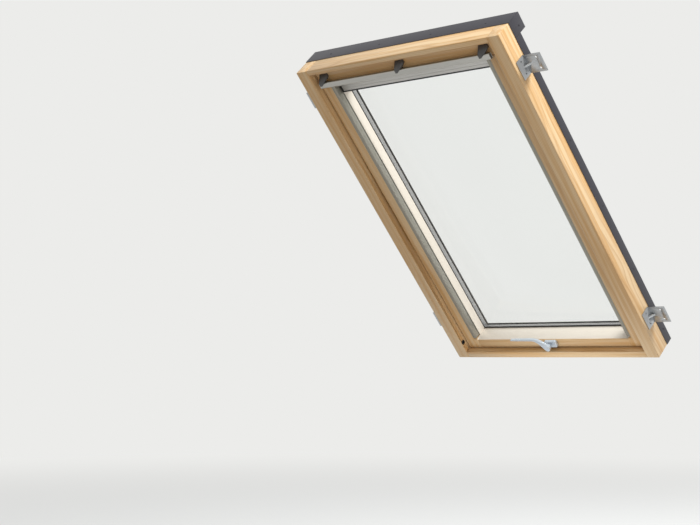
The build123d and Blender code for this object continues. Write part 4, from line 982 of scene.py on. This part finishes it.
cladding_sites = []
for side in (-1.0, 1.0):
    for z in CLADDING_ROW_Z:
        cladding_sites.append(((side * CLADDING_X, Y_CLAD_TOP, z), OUT))
for x in CLADDING_ROW_X:
    cladding_sites.append(((x, Y_CLAD_TOP, CLADDING_FOOT_Z), OUT))
    cladding_sites.append(((x, Y_CLAD_TOP, CLADDING_HEAD_Z), OUT))
screws("cladding_screws", cladding_sites, 3.0, 1.0, "sash", DARK_COVER)

arm_sites = []
for side in (-1.0, 1.0):
    for z in ARM_COVER_ROW_Z:
        arm_sites.append(((side * ARM_COVER_X, ARM_COVER_Y, z), OUT))
screws("arm_cover_screws", arm_sites, 2.8, 1.0, "hinge_arms", DARK_COVER)

# %% [markdown]
# The lock plate under the bottom rail and the keeps on the sill face each other across a
# gap of 3.5 mm, so their screws are countersunk and end flush with the plates.

# %% Flush screws on the lock plate and keeps
PLATE_ROW_X = (-190.0, -60.0, 60.0, 190.0)
KEEP_CENTRES = (-157.0, 173.0)
KEEP_SCREW_HALF = 24.0
KEEP_ROW_Y = (41.0, 80.0)

plate_sites = [((x, Y_LOCK, Z_FOOT), DOWN) for x in PLATE_ROW_X]
screws("lock_plate_screws", plate_sites, 2.8, 0.9, "sash", sink=0.7)

keep_sites = []
for centre in KEEP_CENTRES:
    for x in (centre - KEEP_SCREW_HALF, centre + KEEP_SCREW_HALF):
        for y in KEEP_ROW_Y:
            keep_sites.append(((x, y, Z_SILL), UP))
screws("keep_screws", keep_sites, 2.8, 0.9, "frame", sink=0.7)

# %% [markdown]
# ## Holes in the glazing spacer
#
# The hollow bar between the panes holds drying grains, and two rows of pinholes let them
# breathe. They show as fine dots through the glass. The rows follow a rectangle, so a
# tree resamples its outline at an even pitch and puts a tiny dark plug at each point:
# painted shade, standing for the dark inside of each hole.

# %% Geometry tree for the pinholes
HOLE_SIDES = 8


def pinhole_tree():
    net, given = geometry_tree(
        "spacer_holes",
        [
            ("Width", "NodeSocketFloat"),
            ("Height", "NodeSocketFloat"),
            ("Pitch", "NodeSocketFloat"),
            ("Hole Radius", "NodeSocketFloat"),
            ("Hole Depth", "NodeSocketFloat"),
            ("Material", "NodeSocketMaterial"),
        ],
    )
    path = net.node(
        "GeometryNodeCurvePrimitiveQuadrilateral", None, {"Width": given["Width"], "Height": given["Height"]}
    )
    even = net.node(
        "GeometryNodeResampleCurve", {"mode": "LENGTH"}, {"Curve": path, "Length": given["Pitch"]}
    )
    tangent = net.node("GeometryNodeInputTangent")
    inward = net.node(
        "ShaderNodeVectorMath", {"operation": "CROSS_PRODUCT"}, {0: tangent, 1: (0.0, 0.0, 1.0)}
    )
    facing = net.node("FunctionNodeAlignRotationToVector", {"axis": "Z"}, {"Vector": inward})
    plug = net.node(
        "GeometryNodeMeshCylinder",
        None,
        {"Vertices": HOLE_SIDES, "Radius": given["Hole Radius"], "Depth": given["Hole Depth"]},
    )
    placed = net.node(
        "GeometryNodeInstanceOnPoints", None, {"Points": even, "Instance": plug, "Rotation": facing}
    )
    return close_tree(net, placed, given["Material"])


# %% Bake the two rows
PINHOLE_TREE = pinhole_tree()
HOLE_VALUES = {
    "Width": 2 * X_SPACER * MM,
    "Height": (Z_SPACER_TOP - Z_SPACER_FOOT) * MM,
    "Pitch": 8.0 * MM,
    "Hole Radius": 0.6 * MM,
    "Hole Depth": 0.2 * MM,
    # The black plugs are painted shade for the holes.
    "Material": BLACK_PLASTIC,
}
ROW_SHARES = (0.35, 0.65)
row_pieces = []
for row, share in enumerate(ROW_SHARES):
    seed_mesh = bpy.data.meshes.new(f"row_{row}")
    seed_mesh.from_pydata([(0, 0, 0)], [], [])
    mesh = baked(f"row_{row}", PINHOLE_TREE, seed_mesh, HOLE_VALUES)
    middle_z = (Z_SPACER_TOP + Z_SPACER_FOOT) / 2
    depth = Y_UNIT + PANE + CAVITY * share
    lay_flat = Matrix.Translation((0, depth * MM, middle_z * MM)) @ Matrix.Rotation(math.pi / 2, 4, "X")
    mesh.transform(TO_SHARED @ lay_flat)
    row_pieces.append(new_piece(f"spacer_holes_{row + 1}", mesh, "sash"))
print("pinholes:", [len(p.data.polygons) for p in row_pieces], "faces")

# %% [markdown]
# ## Floor, backdrop and light
#
# A pale floor lies well below the window, because a roof window hangs in its opening.
# Near the window the floor is a plain surface that takes its shadow. Further out it
# fades into the colour of the backdrop, so that no horizon cuts the picture. Only rays
# that come straight from the camera, or by way of glass or metal, see the pale colours.
# The light on the room side of the window is that of a room with daylight outside: soft,
# and weaker than the light that comes in from the sky.

# %% Backdrop colour and world
BACKDROP = rgb("ECECEA")
FLOOR_Z = -1.15
FLOOR_SIZE = 80.0
FADE_FROM = 1.2
FADE_TO = 6.0
ROOM_LEVEL = 0.54


def seen_directly(net):
    """1 for camera, glossy and transmission rays, 0 for the rest."""
    path = net.tree.nodes.new("ShaderNodeLightPath")
    kinds = ("Is Camera Ray", "Is Glossy Ray", "Is Transmission Ray")
    camera, glossy, through = [Sock(net, path.outputs[kind]) for kind in kinds]
    return net.math("MAXIMUM", camera, net.math("MAXIMUM", glossy, through))


world = bpy.data.worlds.new("studio")
bpy.context.scene.world = world
world.use_nodes = True
world.node_tree.nodes.clear()
air = Net(world.node_tree)
soft = air.node("ShaderNodeBackground", None, {"Color": (1.0, 1.0, 1.0, 1.0), "Strength": ROOM_LEVEL})
shown = air.node("ShaderNodeBackground", None, {"Color": BACKDROP, "Strength": 1.0})
sky = air.node("ShaderNodeMixShader", None, {0: seen_directly(air), 1: soft, 2: shown})
world_output = air.tree.nodes.new("ShaderNodeOutputWorld")
air.feed(world_output.inputs["Surface"], sky)


# %% Floor
def floor_material():
    g = Finish("floor")
    direct = seen_directly(g)
    x, y, z = g.split(g.node("ShaderNodeTexCoord", out="Object"))
    away = g.ramp(g.math("SQRT", x * x + y * y), FADE_FROM, FADE_TO) * direct
    g.set(Base_Color=g.blend(direct, rgb("9C9A97"), rgb("D4D4D2")), Roughness=0.9)
    flat = g.node("ShaderNodeEmission", None, {"Color": BACKDROP, "Strength": 1.0})
    near = Sock(g, g.shader.outputs["BSDF"])
    g.surface(g.node("ShaderNodeMixShader", None, {0: away, 1: near, 2: flat}))
    return g.material


bpy.ops.mesh.primitive_plane_add(size=FLOOR_SIZE, location=(0, 0, FLOOR_Z))
floor = bpy.context.object
floor.name = "floor"
floor.data.materials.append(floor_material())

# %% [markdown]
# Daylight comes from high outside, a little from the right. It falls through the glass
# on the left side of the opening and on the slope of the bottom rail, which are the
# brightest wood in the picture. A weak lamp low on the right of the room lights the sides
# of the left jamb and gives the hardware shape. A long, low lamp under the sill gives its
# face the light that comes back from below. The lamps don't show in the glass or the
# metal, where the pale backdrop shows instead.


# %% Lamps
def soft_light(name, location, target, size, power, colour):
    data = bpy.data.lights.new(name, "AREA")
    data.shape = "RECTANGLE"
    data.size, data.size_y = size
    data.energy = power
    data.color = colour
    lamp = bpy.data.objects.new(name, data)
    bpy.context.collection.objects.link(lamp)
    lamp.location = location
    lamp.rotation_euler = (Vector(target) - Vector(location)).to_track_quat("-Z", "Y").to_euler()
    lamp.visible_camera = False
    lamp.visible_glossy = False
    return lamp


soft_light("sky_light", (2.4, 0.9, 4.4), (0, 0, 0), (2.6, 2.6), 430.0, (0.96, 0.98, 1.0))
soft_light("room_light", (2.6, -1.7, -0.5), (0, 0, 0), (1.6, 1.6), 14.0, (1.0, 0.97, 0.93))
LOW_LAMP = place(40, -160, -655)
SILL_FACE = place(40, 10, -556)
soft_light("low_light", LOW_LAMP, SILL_FACE, (0.62, 0.10), 0.42, (0.93, 0.96, 1.0))

# %% [markdown]
# ## Camera
#
# The photo was solved for its camera from the corners of the frame and the place of the
# lever: a 77 mm lens on a 36 mm wide sensor, 3.5 degrees up and turned 45.4 degrees to
# the left of the line that runs straight out of the building. The frame of the photo
# cuts the window on the right, so the picture is shifted sideways a little to keep the
# whole window in view at the same angle.

# %% Camera
FOCAL_PX = 1501.0
PHOTO_WIDTH = 700.0
SENSOR = 36.0
YAW = math.radians(45.43)
TILT = math.radians(3.51)
SHIFT_PX = 62.0
EYE = (2867.1, -2991.3, 2115.8)

camera_data = bpy.data.cameras.new("camera")
camera_data.sensor_width = SENSOR
camera_data.lens = FOCAL_PX / PHOTO_WIDTH * SENSOR
camera_data.shift_x = SHIFT_PX / PHOTO_WIDTH
camera = bpy.data.objects.new("camera", camera_data)
bpy.context.collection.objects.link(camera)
forward = Vector((-math.sin(YAW) * math.cos(TILT), math.cos(YAW) * math.cos(TILT), math.sin(TILT)))
right = Vector((math.cos(YAW), math.sin(YAW), 0.0))
up = right.cross(forward)
turn = Matrix((right, up, -forward)).transposed()
camera.matrix_world = Matrix.Translation(place(*EYE)) @ turn.to_4x4()
bpy.context.scene.camera = camera
bpy.context.scene.view_settings.view_transform = "Standard"
print("camera at", [round(c, 3) for c in camera.location], "lens", round(camera_data.lens, 1))
